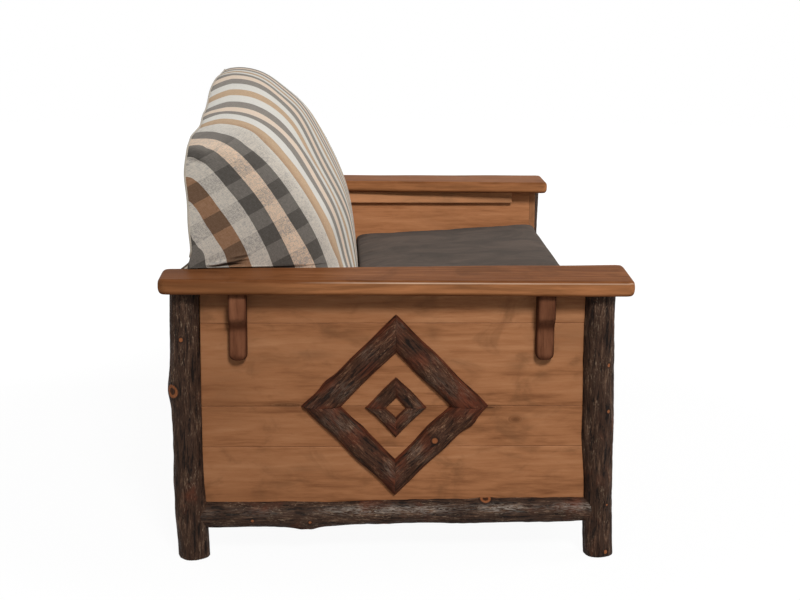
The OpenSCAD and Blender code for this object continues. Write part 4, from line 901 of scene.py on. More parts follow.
def corbel_skin(side, middle_y, radius=0.007):
    """Corbel: a rounded section carried upwards. Its depth swells from the leg to the head by a cubic
    step, and its width narrows by quarter circles at its foot. The mark is 1 on the sides, in the
    hollow and at the foot, where painted shade darkens the wood."""
    width, tall, head, leg = 0.039, 0.152, 0.040, 0.022
    head_h, cove_h, foot = 0.055, 0.032, 0.0117
    top, cove = tall - head_h, tall - head_h - cove_h
    heights = np.concatenate([[0, 0, 0], foot * (1 - np.cos(np.radians(np.linspace(8, 90, 8)))),
                              np.linspace(foot + 0.004, cove - 0.004, 6),
                              np.linspace(cove, top - 0.001, 14),
                              [top + 0.0016, top + 0.005], np.linspace(top + 0.012, tall, 4),
                              [tall, tall]])
    shut = np.concatenate([[0.3, 0.7, 1], np.ones(len(heights) - 5), [0.7, 0.3]])
    share = np.clip((heights - cove) / cove_h, 0, 1)
    depth = leg + (head - leg) * smooth(share ** 1.3)
    near = np.clip(heights / foot, 0, 1)
    inset = foot * (1 - np.sqrt(1 - (1 - near) ** 2))
    half = np.maximum(width / 2 - inset, 0.004)
    quarter = np.radians(np.linspace(0, 90, 6))
    r = np.minimum(radius, half * 0.9)[:, None]
    out = (depth[:, None] - r) + r * np.sin(quarter)
    side_y = (half[:, None] - r) + r * np.cos(quarter)
    flat = np.array([0.6, 0, -0.6])
    y = np.hstack([half[:, None] * np.ones(3), side_y, (half[:, None] - r) * flat, -side_y[:, ::-1],
                   -half[:, None] * np.ones(3), -half[:, None] * flat])
    x = np.hstack([depth[:, None] * np.array([0, 0.3, 0.6]), out, depth[:, None] * np.ones(3), out[:, ::-1],
                   depth[:, None] * np.array([0.6, 0.3, 0]), np.zeros((len(heights), 3))])
    x = depth.mean() * 0.4 * (1 - shut[:, None]) + x * shut[:, None]
    y = y * shut[:, None]
    z = np.repeat(heights[:, None], x.shape[1], 1)
    sign = SIDES[side]
    rings = np.stack([sign * (PANEL_X + x), middle_y + y, ARM_UNDER - tall + z], -1)
    turn = np.cos(np.linspace(0, np.pi / 2, 6))
    aside = np.concatenate([np.ones(3), turn, np.zeros(3), turn[::-1], np.ones(6)]) ** 2
    # Painted shade in the hollow under the head and at the foot.
    hollow = 0.85 * bell((heights - cove - 0.3 * cove_h) / 0.010) + (1 - smooth(heights / (1.3 * foot)))
    return skin(rings, board=middle_y, edge=np.clip(aside[None] + hollow[:, None], 0, 1))


class LOVESEAT_OT_armrests(bpy.types.Operator):
    """Plank armrests, with their cleats and corbels"""
    bl_idname = "loveseat.armrests"
    bl_label = "Armrests and corbels"

    def execute(self, context):
        wood = context.scene.loveseat_wood
        # The first spot darkens the lower rear of the outer side; the second is a dark streak on the top
        # near the rear.
        dark_spots = [((-HALF_W, 0.36, ARM_UNDER + 0.015), (0.05, 0.20, 0.03), 0.34),
                  ((-HALF_W + 0.09, 0.43, ARM_TOP), (0.03, 0.16, 0.02), 0.30)]
        # Armrest wood: lighter sides as painted light, a painted highlight along the near armrest's upper
        # edges, and painted shade towards the rear.
        plank_wood = wood_material("armrest_planks", wood.arm_dark, wood.arm_mid, wood.arm_light,
                                   stretch=(1, 0.07, 1), gloss=0.34, figure=1.3, sides=wood.lit_side_mid,
                                   spots=dark_spots, painted_highlight=wood.painted_highlight, shine=0.006, rear_shade=(0.10, 0.46, 0.42))
        # Painted light: the cleats take the panels' pale tone made up to 1.6 times lighter, as if lit under
        # the armrests.
        strips = (tinted(wood.panel_light, share) for share in (0.9, 1.3, 1.6))
        lit_cleat_wood = wood_material("lit_cleat_strips", *strips, stretch=(1, 0.08, 1), gloss=0.4)
        # The corbels' sides, hollow and foot take the dark tone as painted shade.
        block_wood = wood_material("corbel_blocks", wood.corbel_dark, wood.corbel_mid, wood.corbel_light,
                                   stretch=(1, 1, 0.12), gloss=0.40, figure=1.2, sides=wood.corbel_dark,
                                   shine=0.03)
        for side in SIDES:
            rest = armrest_skin(side, wood.arm_round, 2 if side == "right" else 9)
            piece(side + "_armrest_plank", [rest], plank_wood, [side + "_armrest"])
            low, high = box(side + "_arm_cleat")
            high[1] += 0.030
            piece(side + "_arm_cleat_board", [plank(low, high, 1, wood.edge_round, 5)], lit_cleat_wood,
                  [side + "_arm_cleat"])
            for end in ("front", "rear"):
                name = "%s_%s_corbel" % (side, end)
                low, high = box(name)
                block = corbel_skin(side, (low[1] + high[1]) / 2)
                piece(name + "_block", [block], block_wood, [name])
        return {"FINISHED"}


class LOVESEAT_OT_seat_frame(bpy.types.Operator):
    """Slats, ledgers and rails of the seat, the frame inside the back, and all the hardware"""
    bl_idname = "loveseat.seat_frame"
    bl_label = "Seat frame and hardware"

    def execute(self, context):
        wood = context.scene.loveseat_wood
        cloth = context.scene.loveseat_upholstery
        tones = wood.frame_dark, wood.frame_mid, tinted(wood.frame_mid, 1.18)
        along_y = wood_material("slat_wood", *tones, stretch=(1, 0.09, 1), gloss=0.6)
        along_x = wood_material("rail_wood", *tones, stretch=(0.09, 1, 1), gloss=0.6)
        upright = wood_material("rib_wood", *tones, stretch=(1, 1, 0.12), gloss=0.6)
        dress(["seat_slats"], along_y)
        dress(["seat_back_rail", "front_slat_ledger", "rear_slat_ledger", "rear_ledger",
               "back_front_base_rail", "back_rear_base_rail", "back_top_rail"], along_x)
        self.crest_rail(along_x, wood.edge_round)
        dress(["back_ribs", "armrest_dowels"], upright)
        dress(["back_webbing"], cloth_material("webbing", cloth.webbing, 0.003))
        dress(["dust_cover"], cloth_material("dust_cloth", cloth.lining, 0.0012))
        dress(["corbel_screws", "cleat_screws", "corner_brackets", "bracket_screws", "slat_screws",
               "back_screws"], steel_material())
        return {"FINISHED"}

    def crest_rail(self, material, ease):
        """Board under the cover's top edge: a straight plank bent up by the crest's height, and forward
        by the cover's step under the crown."""
        low, high = box("back_crest_rail")
        tall = 0.050
        ends = (low[0], low[1], 0), (high[0], high[1], tall)
        points, quads, fans, marks = plank(*ends, 0, ease, 2, spacing=0.012)
        inward = HALF_W - np.abs(points[:, 0])
        points[:, 2] += crest_height(inward) - crest_height(HALF_W) + high[2] - tall
        points[:, 1] -= 0.008 + 0.008 * smooth((inward - 0.56) / 0.2)
        piece("back_crest_rail_board", [(points, quads, fans, marks)], material, ["back_crest_rail"])


# Soft parts

def mesh_points(made):
    """The mesh's points as an array."""
    points = np.empty(len(made.data.vertices) * 3)
    made.data.vertices.foreach_get("co", points)
    return points.reshape(-1, 3)


def swell(made, pressure, cap, pinned=None, frames=20):
    """Lets Blender's Cloth inflate the piece for some frames with no gravity, then moves each point
    there by its own distance, levelled off at the cap, and takes the Cloth off again."""
    scene = bpy.context.scene
    rest = mesh_points(made)
    cloth = made.modifiers.new("swell", "CLOTH")
    cloth.settings.quality = 5
    cloth.settings.use_pressure = True
    cloth.settings.uniform_pressure_force = pressure
    cloth.settings.effector_weights.gravity = 0
    cloth.settings.tension_stiffness = cloth.settings.compression_stiffness = 25
    cloth.settings.bending_stiffness = 2
    cloth.point_cache.frame_start, cloth.point_cache.frame_end = 1, frames
    if pinned is not None:
        group = made.vertex_groups.new(name="pinned")
        group.add(np.flatnonzero(pinned).tolist(), 1.0, "REPLACE")
        cloth.settings.vertex_group_mass = "pinned"
    for number in range(1, frames + 1):
        scene.frame_set(number)
    move = mesh_points(made.evaluated_get(bpy.context.evaluated_depsgraph_get())) - rest
    made.modifiers.remove(cloth)
    made.vertex_groups.clear()
    scene.frame_set(1)
    distance = np.linalg.norm(move, axis=1, keepdims=True)
    move = move * cap * np.tanh(distance / cap) / np.maximum(distance, 1e-9)
    made.data.vertices.foreach_set("co", (rest + move).ravel())
    made.data.update()


def refine(made):
    """One level of subdivision."""
    finer = made.modifiers.new("refine", "SUBSURF")
    finer.levels = finer.render_levels = 1


SEAT_SLOPE = math.radians(3.5)
SIDE_T, CROWN = 0.149, 0.006   # a seat cushion's thickness at its sides, and the rise of its middle


def cushion_depth(low, high):
    """Depth along the slope of a cushion that fills the length from low to high."""
    return (high[1] - low[1] - (SIDE_T + CROWN) * math.sin(SEAT_SLOPE)) / math.cos(SEAT_SLOPE)


def cushion_rings(low, high, shrink):
    """Seat cushion before it swells. In plan, a rounded rectangle whose sides pull in between its
    corners; in height, a boxed edge with small quarter rounds and a crown that rises to the middle
    along a sine."""
    corner, edge = 0.014, 0.013
    count, steps = 36, 22
    wide = high[0] - low[0] - 2 * shrink
    deep = cushion_depth(low, high) - 2 * shrink
    thick = SIDE_T - 1.2 * shrink
    quarter = np.radians(np.linspace(0, 90, 7))
    outline = rounded_loop(wide, deep, corner, count, int(count * deep / wide))
    bottom = np.stack([edge * (1 - np.sin(quarter)), edge * (1 - np.cos(quarter))], -1)
    side = np.stack([np.zeros(9), np.linspace(edge, thick - edge, 11)[1:-1]], -1)
    upper = np.stack([edge * (1 - np.cos(quarter)), thick - edge * (1 - np.sin(quarter))], -1)
    share = np.linspace(0.04, 0.97, steps)
    reach = min(wide, deep) / 2 - edge
    dome = np.stack([edge + share * reach, thick + CROWN * np.sin(share * np.pi / 2)], -1)
    floor = np.stack([edge + share[::-1] * reach, np.zeros(steps)], -1)
    profile = np.vstack([floor, bottom, side, upper, dome])
    half = np.array([wide, deep]) / 2
    share = 1 - profile[:, 0, None] / half
    rings = outline[None] * share[:, None, :]
    rings = np.concatenate([rings, np.broadcast_to(profile[:, 1, None, None], rings.shape[:2] + (1,))], -1)
    return rings + np.array([0, deep / 2 + shrink, 0.6 * shrink])


class LOVESEAT_OT_seat_cushions(bpy.types.Operator):
    """Two loose seat cushions in brushed suede, swollen as cloth and then seamed"""
    bl_idname = "loveseat.seat_cushions"
    bl_label = "Seat cushions"

    def execute(self, context):
        cloth = context.scene.loveseat_upholstery
        suede = suede_material()
        gap = 0.0006
        low, high = box("right_seat_cushion")
        rings = cushion_rings(low, high, cloth.seat_puff * 0.45)
        made = piece("right_seat_cushion_cover", [skin(rings)], suede, ["right_seat_cushion"],
                     "right_seat_cushion")
        self.even_out(context, made, suede)
        swell(made, 4.0, cloth.seat_puff * 0.5)
        points = mesh_points(made)
        middle = (low + high) / 2
        front_z = low[2] + (high[1] - low[1]) * math.sin(SEAT_SLOPE)
        full = np.array([high[0] - low[0] - gap, cushion_depth(low, high) + 0.0085, 0.160])
        lowest = points.min(0)
        points = (points - lowest) / (points.max(0) - lowest) * full - np.array([full[0] / 2, -gap, 0])
        self.sew(points, full[:2] / 2, cloth.seam_depth)
        across, fall = math.cos(SEAT_SLOPE), math.sin(SEAT_SLOPE)
        turned = points.copy()
        turned[:, 1] = points[:, 1] * across + points[:, 2] * fall
        turned[:, 2] = points[:, 2] * across - points[:, 1] * fall
        turned += np.array([middle[0], low[1] + gap, front_z + gap])
        made.data.vertices.foreach_set("co", turned.ravel())
        made.data.update()
        other = made.data.copy()
        other.name = "left_seat_cushion_cover"
        mirrored = turned * np.array([-1, 1, 1])
        other.vertices.foreach_set("co", mirrored.ravel())
        other.flip_normals()
        twin = placed("left_seat_cushion_cover", other)
        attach(twin, "left_seat_cushion")
        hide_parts("left_seat_cushion")
        for cushion in (made, twin):
            refine(cushion)
        return {"FINISHED"}

    def even_out(self, context, made, suede):
        """Gives the cushion a mesh of even squares, so that it swells evenly."""
        remesh = made.modifiers.new("even", "REMESH")
        remesh.mode, remesh.voxel_size = "VOXEL", 0.0075
        even = bpy.data.meshes.new_from_object(made.evaluated_get(context.evaluated_depsgraph_get()))
        made.modifiers.remove(remesh)
        made.data = even
        even.shade_smooth()
        even.materials.clear()
        even.materials.append(suede)

    def sew(self, points, half, depth):
        """Draws the points in along two level seams round the rim, by a bell curve of the height."""
        rim = 0.86
        for seam_z in (0.018, 0.127):
            way = points[:, :2] - np.array([0, points[:, 1].mean()])
            out = np.abs(way) / half
            near = bell((points[:, 2] - seam_z) / 0.0035)
            pull = depth * near * smooth((out.max(1) - rim) / 0.06)
            points[:, :2] -= pull[:, None] * np.sign(way) * (out > rim)


# Back, in metres from the armrest's outer edge (inwards) and front end (rearwards)

BACK_REAR, BACK_CREST, BACK_FOOT = 0.957, 0.891, 0.576
LEAN_Z = DECK_Z + 0.050      # height where the front starts to lean
CORE_Z = ARM_TOP + 0.002     # height where the back's ends rest on the armrests
SHOULDER = 0.010             # fall of the top edge from the crest to the seam


def crest_height(inward):
    """Height of the top edge: level beside the crown, rising to it and falling to the ends by cubic
    steps."""
    rise = smooth((inward - 0.400) / 0.330)
    drop = 1 - smooth((inward - 0.120) / 0.280)
    return 0.955 + 0.058 * rise - 0.050 * drop


def end_place(share):
    """Distance inwards of the end's surface where its depth has grown to a share of the whole: a
    slant, then a quarter ellipse round to the front."""
    turn = np.clip((share - 0.6) / 0.4, 0, 1)
    return 0.1155 + 0.040 * share + 0.060 * (1 - np.sqrt(1 - turn ** 2))


def back_sections(share, inward):
    """Side profiles of the back, one for each share of the depth and distance inwards, and the angle
    up the profile in degrees. A profile runs up the foot, along a quarter ellipse to the crest with a
    slight fullness low down, over a shallow shoulder to the seam, and down the rear. Its depth shrinks
    towards the rear with the share, and its height above the armrest by a power of what is missing.
    The front bows in beside the armrests, the seam lies further forward under the crown, and the ends
    lean in and out a little at the rear."""
    top = crest_height(inward)[:, None]
    share, reach = share[:, None], inward[:, None]
    seam = BACK_REAR - 0.016 * smooth((reach - 0.205) / 0.09) - 0.012 * smooth((reach - 0.56) / 0.2)
    foot = np.linspace(0, 1, 6)[:-1]
    pleated = np.linspace(27.3, 32.8, 16)
    arc = np.radians(np.sort(np.concatenate([np.linspace(0, 90, 100), pleated])))
    turn = np.radians(np.array([8, 18, 30, 42, 54, 66, 76, 84]))
    down = np.array([0.004, 0.012, 0.025, 0.045, *np.linspace(0.07, 1, 42)])
    # Front, up the quarter ellipse
    z = LEAN_Z + (top - LEAN_Z) * np.sin(arc)
    fullness = 0.007 * bell((z - 0.69) / 0.11)
    y = BACK_CREST - (BACK_CREST - BACK_FOOT) * np.cos(arc) - fullness
    bow = 0.024 * bell((z - 0.64) / 0.095) * (1 - smooth((reach - 0.18) / 0.42))
    y = y + bow * smooth((share - 0.75) / 0.25) * smooth((0.83 - y) / 0.15)
    y = y + 0.009 * bell((top - 0.045 - z) / 0.032) * smooth((reach - 0.52) / 0.2)
    # Over the shoulder and down the rear
    shoulder = np.sin(turn) / math.sin(turn[-1])
    corner = top - SHOULDER * (1 - math.cos(turn[-1]))
    rear_z = corner + (DECK_Z - corner) * down
    behind = BACK_REAR - 0.008 * smooth((reach - 0.19) / 0.03)
    y = np.hstack([BACK_FOOT + 0 * foot + 0 * top, y, BACK_CREST + (seam - BACK_CREST) * shoulder,
                   seam + (behind - seam) * np.clip((corner - rear_z) / 0.11, 0, 1) ** 0.6])
    over = top - SHOULDER * (1 - np.cos(turn))
    z = np.hstack([DECK_Z + (LEAN_Z - DECK_Z) * foot + 0 * top, z, over, rear_z])
    # Shrunk towards the rear round the ends
    y = BACK_REAR + (y - BACK_REAR) * share
    z = np.where(z > CORE_Z, CORE_Z + (z - CORE_Z) * (1 - (1 - share) ** 3.3), z)
    lean = 0.007 * bell((z - 0.842) / 0.045) - 0.008 * smooth((0.745 - z) / 0.105)
    lean = lean + 0.011 * bell((z - 0.640) / 0.022)
    y = y + lean * bell((BACK_REAR - y) / 0.11) * (1 - smooth((reach - 0.2) / 0.1))
    angle = np.concatenate([0 * foot, np.degrees(arc), 90 + 30 * shoulder, np.full(len(down), 120)])
    return y, z, angle


# Where the bands' edges cross lines up the end and over the front, by the lines' angle up the
# profile: mm inwards from the rear corner. The cover is drawn over the end, so they spread upwards
BAND_EDGES = {
    28: (42, 92, 144, 192, 241, 291, 333, 380, 420, 458, 497, 536, 576, 616),
    45: (34, 70, 120, 168, 218, 262, 310, 352, 378, 408, 445, 490, 535, 580),
    62: (26, 62, 104, 150, 202, 257, 314, 368, 420, 476, 525, 585, 645, 702),
    78: (26, 64, 106, 154, 208, 278, 345, 445, 486, 527, 560, 632, 680, 726),
    90: (28, 70, 116, 166, 230, 340, 400, 459, 492, 530, 552, 618, 670, 716),
    120: (37, 81, 129, 196, 290, 385, 422, 447, 470, 495, 522, 552, 617, 672)}
LAST_BANDS = 0.041           # width of the bands beyond those


def band_place(foot, angle, width):
    """Distance across the woven bands for each distance inwards and each angle up the profile, by
    cubic curves through the measured lines."""
    lines = np.array(list(BAND_EDGES), float)
    place = []
    for edges in BAND_EDGES.values():
        crossing = np.array([-100.0, 0, *edges]) * MM
        crossing = np.append(crossing, crossing[-1] + 40 * LAST_BANDS)
        woven = width * np.array([-2.5, *range(len(edges) + 1), len(edges) + 40])
        place.append(np.interp(foot, crossing, woven))
    place = np.array(place)
    slope = np.gradient(place, lines, axis=0)
    angle = np.clip(angle, lines[0], lines[-1] - 1e-6)
    low = np.searchsorted(lines, angle, "right") - 1
    step = (lines[low + 1] - lines[low])[:, None]
    t = (angle - lines[low])[:, None] / step
    return ((1 + 2 * t) * (1 - t) ** 2 * place[low] + t * (1 - t) ** 2 * step * slope[low]
            + t ** 2 * (3 - 2 * t) * place[low + 1] + t ** 2 * (t - 1) * step * slope[low + 1]).T


def lay_weave(made, across, along, tips=((0, 0), (0, 0))):
    """UV map: distance across the bands, and distance along them, at the rings' points and at the
    middles of the first and last ring."""
    points = np.vstack([np.stack([across.ravel(), along.ravel()], -1), tips])
    corners = np.empty(len(made.data.loops), dtype=np.int32)
    made.data.loops.foreach_get("vertex_index", corners)
    layer = made.data.uv_layers.new(name="weave")
    layer.data.foreach_set("uv", points[corners].astype(np.float32).ravel())


# Pleats beside an armrest: height above it where one starts, distances from the rear where it starts
# and ends, rise per metre, and strength
PLEATS = (
    (0.002, 0.030, 0.125, 0.09, 1.0), (0.007, 0.052, 0.135, 0.13, 0.9), (0.016, 0.075, 0.140, 0.18, 0.5))


class LOVESEAT_OT_back(bpy.types.Operator):
    """Upholstered back with its plaid cover, its outside panel and the welt between them"""
    bl_idname = "loveseat.back"
    bl_label = "Back"

    def execute(self, context):
        cloth = context.scene.loveseat_upholstery
        plaid = plaid_material()
        shares, inwards, foot = self.lines()
        y, z, angle = back_sections(shares, inwards)
        width = cloth.stripe_width
        across = self.both_halves(band_place(foot, angle, width), foot)
        side = np.concatenate([-np.ones(len(inwards)), np.ones(len(inwards) - 1)])
        y, z, inwards = (np.concatenate([half, half[-2::-1]]) for half in (y, z, inwards))
        place = np.repeat(inwards[:, None], y.shape[1], 1)
        at_end = 1 - smooth((place - 0.150) / 0.10)
        arm_edge = ARM_FRONT_W + (ARM_REAR_W - ARM_FRONT_W) * y / (REAR - FRONT) + 0.0025
        place = np.where(z < CORE_Z - 0.0005, np.maximum(place, arm_edge), place)
        bands = np.minimum(across, across[-1] - across) / width
        # Painted shade and sheen: the ends take the darker band tones and the cross bands, which fade over
        # the front and are weaker on the crown's top.
        crest = smooth((bands - 4.2) / 0.8) * smooth((angle - 76) / 16)
        shady = (1 - smooth((bands - 7.5) / 1.1)) * (1 - 0.55 * crest)
        cell = (1 - smooth((bands - 6.7) / 1.2)) * (1 - 0.8 * crest)
        along = 0.88 * (z - CORE_Z) - 0.47 * (BACK_REAR - y)
        rings = np.stack([side[:, None] * (HALF_W - place), FRONT + y, z], -1)
        rings, crease_shade = self.fold(rings, y, z, side, at_end)
        mantle = skin(rings, end=shady, cell=cell, fold=crease_shade)
        made = piece("back_cover", [mantle], plaid, ["back_cushion"])
        lay_weave(made, across, along, [(across[i, i], along[i, i]) for i in (0, -1)])
        pinned = (z < CORE_Z + 0.004) | (y > BACK_REAR - 0.014)
        pinned |= z > crest_height(inwards)[:, None] - 0.012
        pinned[[0, 1, -2, -1]] = True
        swell(made, 3.0, cloth.back_puff, np.concatenate([pinned.ravel(), [True, True]]))
        refine(made)
        self.outside(plaid)
        self.welt(cloth)
        self.tuck(cloth)
        return {"FINISHED"}

    def lines(self):
        """Lines of points from the rear corner of one end to the middle: each one's share of the depth,
        distance inwards and distance round. They lie closer round the end than along the front."""
        end_depth, end_spacing, spacing = 0.369, 0.0055, 0.0085
        share = np.linspace(0, 1, 400)
        run = np.hypot(np.diff(end_place(share)), np.diff(share) * end_depth)
        run = np.concatenate([[0], np.cumsum(run)])
        picks = np.linspace(0, run[-1], int(run[-1] / end_spacing))
        ends = np.interp(picks, run, share)
        ends[0] = 0.004
        front = float(end_place(np.array(1.0)))
        inner = np.linspace(front, HALF_W, int((HALF_W - front) / spacing))[1:]
        shares = np.concatenate([ends, np.ones(len(inner))])
        inwards = np.concatenate([end_place(ends), inner])
        return shares, inwards, np.concatenate([picks, run[-1] + inner - front])

    def both_halves(self, across, foot):
        """Distance across the bands over both halves of the back. On the far half they run straight up,
        then close round the end as they do round the near one."""
        level = across.mean(1, keepdims=True)
        steady = smooth((foot - 0.30) / 0.25)[:, None]
        mirrored = (across * (1 - steady) + level * steady)[-2::-1]
        past = smooth((foot[-1] - foot[-2::-1]) / 0.35)[:, None]
        far = across[-1] * (1 - past) + level[-1] * (1 + past) - mirrored
        return np.concatenate([across, far])

    def fold(self, rings, y, z, side, at_end):
        """Pleats where the cover is pulled round the armrest, each a ridge over a crease along a rising
            line, a crease under the end's rear corner and slow unevenness. Also returns how deep in a
            crease each point lies, which the cover's colour darkens as painted shade."""
        foot = BACK_REAR - y
        up = z - CORE_Z
        near = at_end * (up > 0.0005)
        push, crease_shade = np.zeros_like(y), np.zeros_like(y)
        for start, first, last, rise, strength in PLEATS:
            line = up - start - rise * (foot - first)
            reach = smooth((foot - first) / 0.03) * (1 - smooth((foot - last + 0.03) / 0.03)) * near
            reach = reach * strength
            ridge = 0.0062 * bell((line - 0.0035) / 0.0030) - 0.0035 * bell((line + 0.0015) / 0.0022)
            push += reach * ridge
            crease_shade += 1.25 * reach * bell((line + 0.0010) / 0.0022)
        dent = bell(((z - 0.868) + 0.25 * (foot - 0.02)) / 0.004) * bell((foot - 0.02) / 0.02) * at_end
        soft = 0.0016 * waves(y, np.arctan2(z - 0.6, y - 0.9), 71, 7, (1, 3), (2.0, 6.0)) * at_end
        rings = rings.copy()
        rings[..., 0] += side[:, None] * (push - 0.005 * dent + soft * (z > CORE_Z + 0.002))
        return rings, np.clip(crease_shade + 0.4 * dent, 0, 1)

    def outside(self, plaid):
        """Panel behind the back: an upright board with a cambered top, padded to a slight bulge. Its
        height is followed by rows of points and its width by columns, front and rear in one loop."""
        low, high = box("outside_back")
        face, front_face, below_crest = 0.9535, 0.951, 0.110
        x = np.linspace(low[0], high[0], 120)
        rows = np.linspace(0, 1, 70)
        top = crest_height(HALF_W - np.abs(x)) - below_crest
        z = DECK_Z + (top - DECK_Z) * rows[:, None]
        inward = high[0] - np.abs(x)
        edge = np.minimum(np.minimum(rows, 1 - rows)[:, None] * 0.5, inward)
        middle = smooth(inward / 0.2)
        bulge = face + 0.013 * np.sin(np.pi * np.clip((z - DECK_Z) / 0.5, 0, 1)) * middle
        bulge = bulge + 0.004 * smooth(edge / 0.02)
        rear = np.stack([x + 0 * z, FRONT + bulge, z], -1)
        front = np.stack([x + 0 * z, FRONT + front_face + 0 * z, z], -1)[:, ::-1]
        rings = np.concatenate([rear, front], 1)
        panel = skin(rings, end=0.0, cell=0.6, fold=0.0)
        made = piece("outside_back_cover", [panel], plaid, ["outside_back"])
        across = np.concatenate([x, x[::-1]]) + 10
        lay_weave(made, np.broadcast_to(across, rings.shape[:2]), rings[..., 2])

    def welt(self, cloth):
        """Thin covered cord along the rear edge: circles carried up one end, along the crest and down
        the other end."""
        climb = np.concatenate([np.linspace(0.028, 0.60, 30), np.linspace(0.62, 1, 16)])
        inward = np.concatenate([end_place(climb), np.linspace(0.220, HALF_W, 110)])
        shares = np.concatenate([climb, np.ones(110)])
        y, z, angle = back_sections(shares, inward)
        seam = int(np.argmax(angle >= 120)) - 1
        path = np.stack([-(HALF_W - inward), FRONT + y[:, seam] + 0.0006, z[:, seam] + 0.0004], -1)
        path = np.vstack([path, path[-2::-1] * np.array([-1, 1, 1])])
        along = np.gradient(path, axis=0)
        along /= np.linalg.norm(along, axis=1, keepdims=True)
        rearward = np.array([0, 1, 0])
        sideways = np.cross(along, rearward)
        sideways /= np.linalg.norm(sideways, axis=1, keepdims=True)
        upward = np.cross(sideways, along)
        angle = np.linspace(0, 2 * np.pi, 12, endpoint=False)
        tube = path[:, None] + cloth.welt_radius * (np.cos(angle)[None, :, None] * sideways[:, None]
                                                    + np.sin(angle)[None, :, None] * upward[:, None])
        piece("back_welt", [skin(tube)], cloth_material("welt_cloth", cloth.welt, 0.001), [])

    def tuck(self, cloth):
        """Corner of the cover tucked down behind each end: a rounded three-sided outline, hollow on its
            long side, that thins towards both faces, over a darker copy that shows along its edge as a
            painted shadow."""
        corners = np.array([[0.940, 0.672], [0.9765, 0.6335], [0.940, 0.6335]])
        share = np.linspace(0, 1, 12, endpoint=False)[:, None]
        edges = [corners[i] * (1 - share) + corners[(i + 1) % 3] * share for i in range(3)]
        edges[0] = edges[0] - 0.0030 * np.sin(np.pi * share) * np.array([0.73, 0.68])
        outline = np.vstack(edges)
        root = corners[2]
        slide = np.linspace(-np.pi / 2, np.pi / 2, 9)
        # The second, darker copy lies behind and shows along the edge as a painted shadow.
        for name, yarn, inset, grown in (("tuck", cloth.tuck, 0.1275, 0.84),
                                         ("tuck_shadow", cloth.tuck_shadow, 0.132, 1.0)):
            linen = cloth_material(name + "_cloth", yarn, 0.0014)
            for side, sign in SIDES.items():
                rings = []
                for turn in slide:
                    x = np.full(len(outline), sign * (HALF_W - inset + 0.0045 * math.sin(turn)))
                    flat = root + (outline - root) * grown * math.cos(0.93 * turn) ** 0.35
                    rings.append(np.column_stack([x, FRONT + flat[:, 0], flat[:, 1]]))
                piece("%s_cover_%s" % (side, name), [skin(np.array(rings))], linen, [])


# Studio

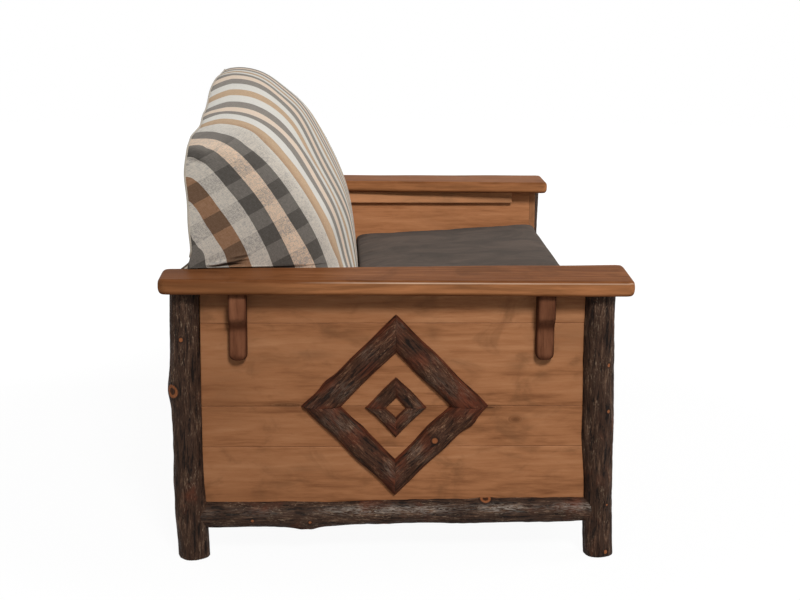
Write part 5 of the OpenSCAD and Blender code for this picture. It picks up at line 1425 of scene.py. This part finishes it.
class LOVESEAT_OT_stage(bpy.types.Operator):
    """Pale floor, soft studio light and the camera"""
    bl_idname = "loveseat.stage"
    bl_label = "Studio"

    def execute(self, context):
        scene = context.scene
        studio = scene.loveseat_studio
        scene.view_settings.view_transform = "Standard"
        self.world(scene, studio)
        self.floor(studio)
        self.lamp("key_lamp", studio.key, 2.4, (-10.2, -2.2, 8.2), (0, 0, 0.45))
        self.lamp("front_lamp", studio.front, 3.4, (1.0, -8.0, 6.0), (0, 0, 0.6))
        self.lamp("rear_lamp", studio.rear, 2.4, (2.6, 4.0, 2.6), (0, 0, 0.5))
        self.camera(scene, studio)
        return {"FINISHED"}

    def camera(self, scene, studio):
        """Camera at its place, turned by its yaw, then its fall below the level, then its roll."""
        camera = bpy.data.cameras.new("camera")
        camera.lens, camera.sensor_width, camera.sensor_fit = studio.lens, 36, "HORIZONTAL"
        camera.clip_end = 100
        holder = placed("camera", camera)
        yaw, fall, roll = studio.camera_turn
        ahead = Vector((math.cos(fall) * math.cos(yaw), math.cos(fall) * math.sin(yaw), -math.sin(fall)))
        level = ahead.cross(Vector((0, 0, 1))).normalized()
        upright = level.cross(ahead)
        right = level * math.cos(roll) + upright * math.sin(roll)
        up = upright * math.cos(roll) - level * math.sin(roll)
        turn = Matrix((right, up, -ahead)).transposed()
        holder.matrix_world = Matrix.Translation(studio.camera_place) @ turn.to_4x4()
        scene.camera = holder

    def seen_directly(self, tree):
        """Socket that is 1 for camera, glossy and transmission rays."""
        path = tree.nodes.new("ShaderNodeLightPath")
        total = path.outputs["Is Camera Ray"]
        for name in ("Is Glossy Ray", "Is Transmission Ray"):
            add = tree.nodes.new("ShaderNodeMath")
            add.operation, add.use_clamp = "ADD", True
            tree.links.new(total, add.inputs[0])
            tree.links.new(path.outputs[name], add.inputs[1])
            total = add.outputs[0]
        return total

    def world(self, scene, studio):
        """Even, dim light on the object, and plain white where the background is seen directly."""
        world = bpy.data.worlds.new("studio")
        world.use_nodes = True
        tree = world.node_tree
        tree.nodes.clear()
        dim, bright = (tree.nodes.new("ShaderNodeBackground") for _ in range(2))
        dim.inputs["Strength"].default_value = studio.sky
        dim.inputs["Color"].default_value = bright.inputs["Color"].default_value = (1, 1, 1, 1)
        mix, out = tree.nodes.new("ShaderNodeMixShader"), tree.nodes.new("ShaderNodeOutputWorld")
        tree.links.new(self.seen_directly(tree), mix.inputs[0])
        tree.links.new(dim.outputs[0], mix.inputs[1])
        tree.links.new(bright.outputs[0], mix.inputs[2])
        tree.links.new(mix.outputs[0], out.inputs["Surface"])
        scene.world = world

    def floor(self, studio):
        """Disc under the object that is white where it is seen directly, and keeps a faint shadow."""
        radius, sides, below = 9, 64, 0.0004
        angle = np.linspace(0, 2 * np.pi, sides, endpoint=False)
        rim = np.stack([radius * np.cos(angle), radius * np.sin(angle), 0 * angle - below], -1)
        mesh = bpy.data.meshes.new("floor")
        mesh.from_pydata(rim.tolist(), [], [list(range(sides))])
        shade = Shader("floor")
        diffuse = shade.add("ShaderNodeBsdfDiffuse", {"Color": (*studio.floor, 1)})
        glow = shade.add("ShaderNodeEmission", {"Color": (1, 1, 1, 1), "Strength": 1.08})
        clear = shade.scaled(shade.grade(shade.vector("LENGTH", shade.place), 1.0, 2.6), 0.12, 0.88)
        share = shade.times(self.seen_directly(shade.tree), clear)
        mixed = shade.add("ShaderNodeMixShader", {0: share, 1: diffuse.outputs[0], 2: glow.outputs[0]})
        shade.add("ShaderNodeOutputMaterial", {"Surface": mixed.outputs[0]})
        mesh.materials.append(shade.material)
        made = placed("floor", mesh)

    def lamp(self, name, power, width, place, target):
        """Square lamp of a width at a place, turned to its target."""
        light = bpy.data.lights.new(name, "AREA")
        light.energy, light.size, light.shape = power, width, "SQUARE"
        holder = placed(name, light)
        holder.location = place
        holder.rotation_euler = (Vector(place) - Vector(target)).to_track_quat("Z", "Y").to_euler()


class LOVESEAT_PT_panel(bpy.types.Panel):
    """Sidebar panel with every setting, and a button for each group of pieces"""
    bl_label = "Log loveseat"
    bl_idname = "LOVESEAT_PT_panel"
    bl_space_type = "VIEW_3D"
    bl_region_type = "UI"
    bl_category = "Loveseat"

    def draw(self, context):
        for group in GROUPS:
            settings = getattr(context.scene, group)
            for name in settings.bl_rna.properties.keys():
                if name not in ("rna_type", "name"):
                    self.layout.prop(settings, name)
        for operator in OPERATORS:
            self.layout.operator(operator.bl_idname)


GROUPS = {"loveseat_logs": LogSettings, "loveseat_wood": WoodSettings,
          "loveseat_upholstery": UpholsterySettings, "loveseat_studio": StudioSettings}
OPERATORS = (LOVESEAT_OT_posts, LOVESEAT_OT_rails, LOVESEAT_OT_diamonds, LOVESEAT_OT_panels,
             LOVESEAT_OT_armrests, LOVESEAT_OT_seat_frame, LOVESEAT_OT_seat_cushions, LOVESEAT_OT_back,
             LOVESEAT_OT_stage)


def register():
    for group in (*GROUPS.values(), *OPERATORS, LOVESEAT_PT_panel):
        bpy.utils.register_class(group)
    for name, group in GROUPS.items():
        setattr(bpy.types.Scene, name, PointerProperty(type=group))


def unregister():
    for name in GROUPS:
        delattr(bpy.types.Scene, name)
    for group in reversed((*GROUPS.values(), *OPERATORS, LOVESEAT_PT_panel)):
        bpy.utils.unregister_class(group)


def main():
    """Registers the add-on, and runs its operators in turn."""
    register()
    for operator in OPERATORS:
        group, name = operator.bl_idname.split(".")
        if getattr(getattr(bpy.ops, group), name)() != {"FINISHED"}:
            raise RuntimeError(operator.bl_label + " was not finished")


if __name__ == "__main__":
    main()
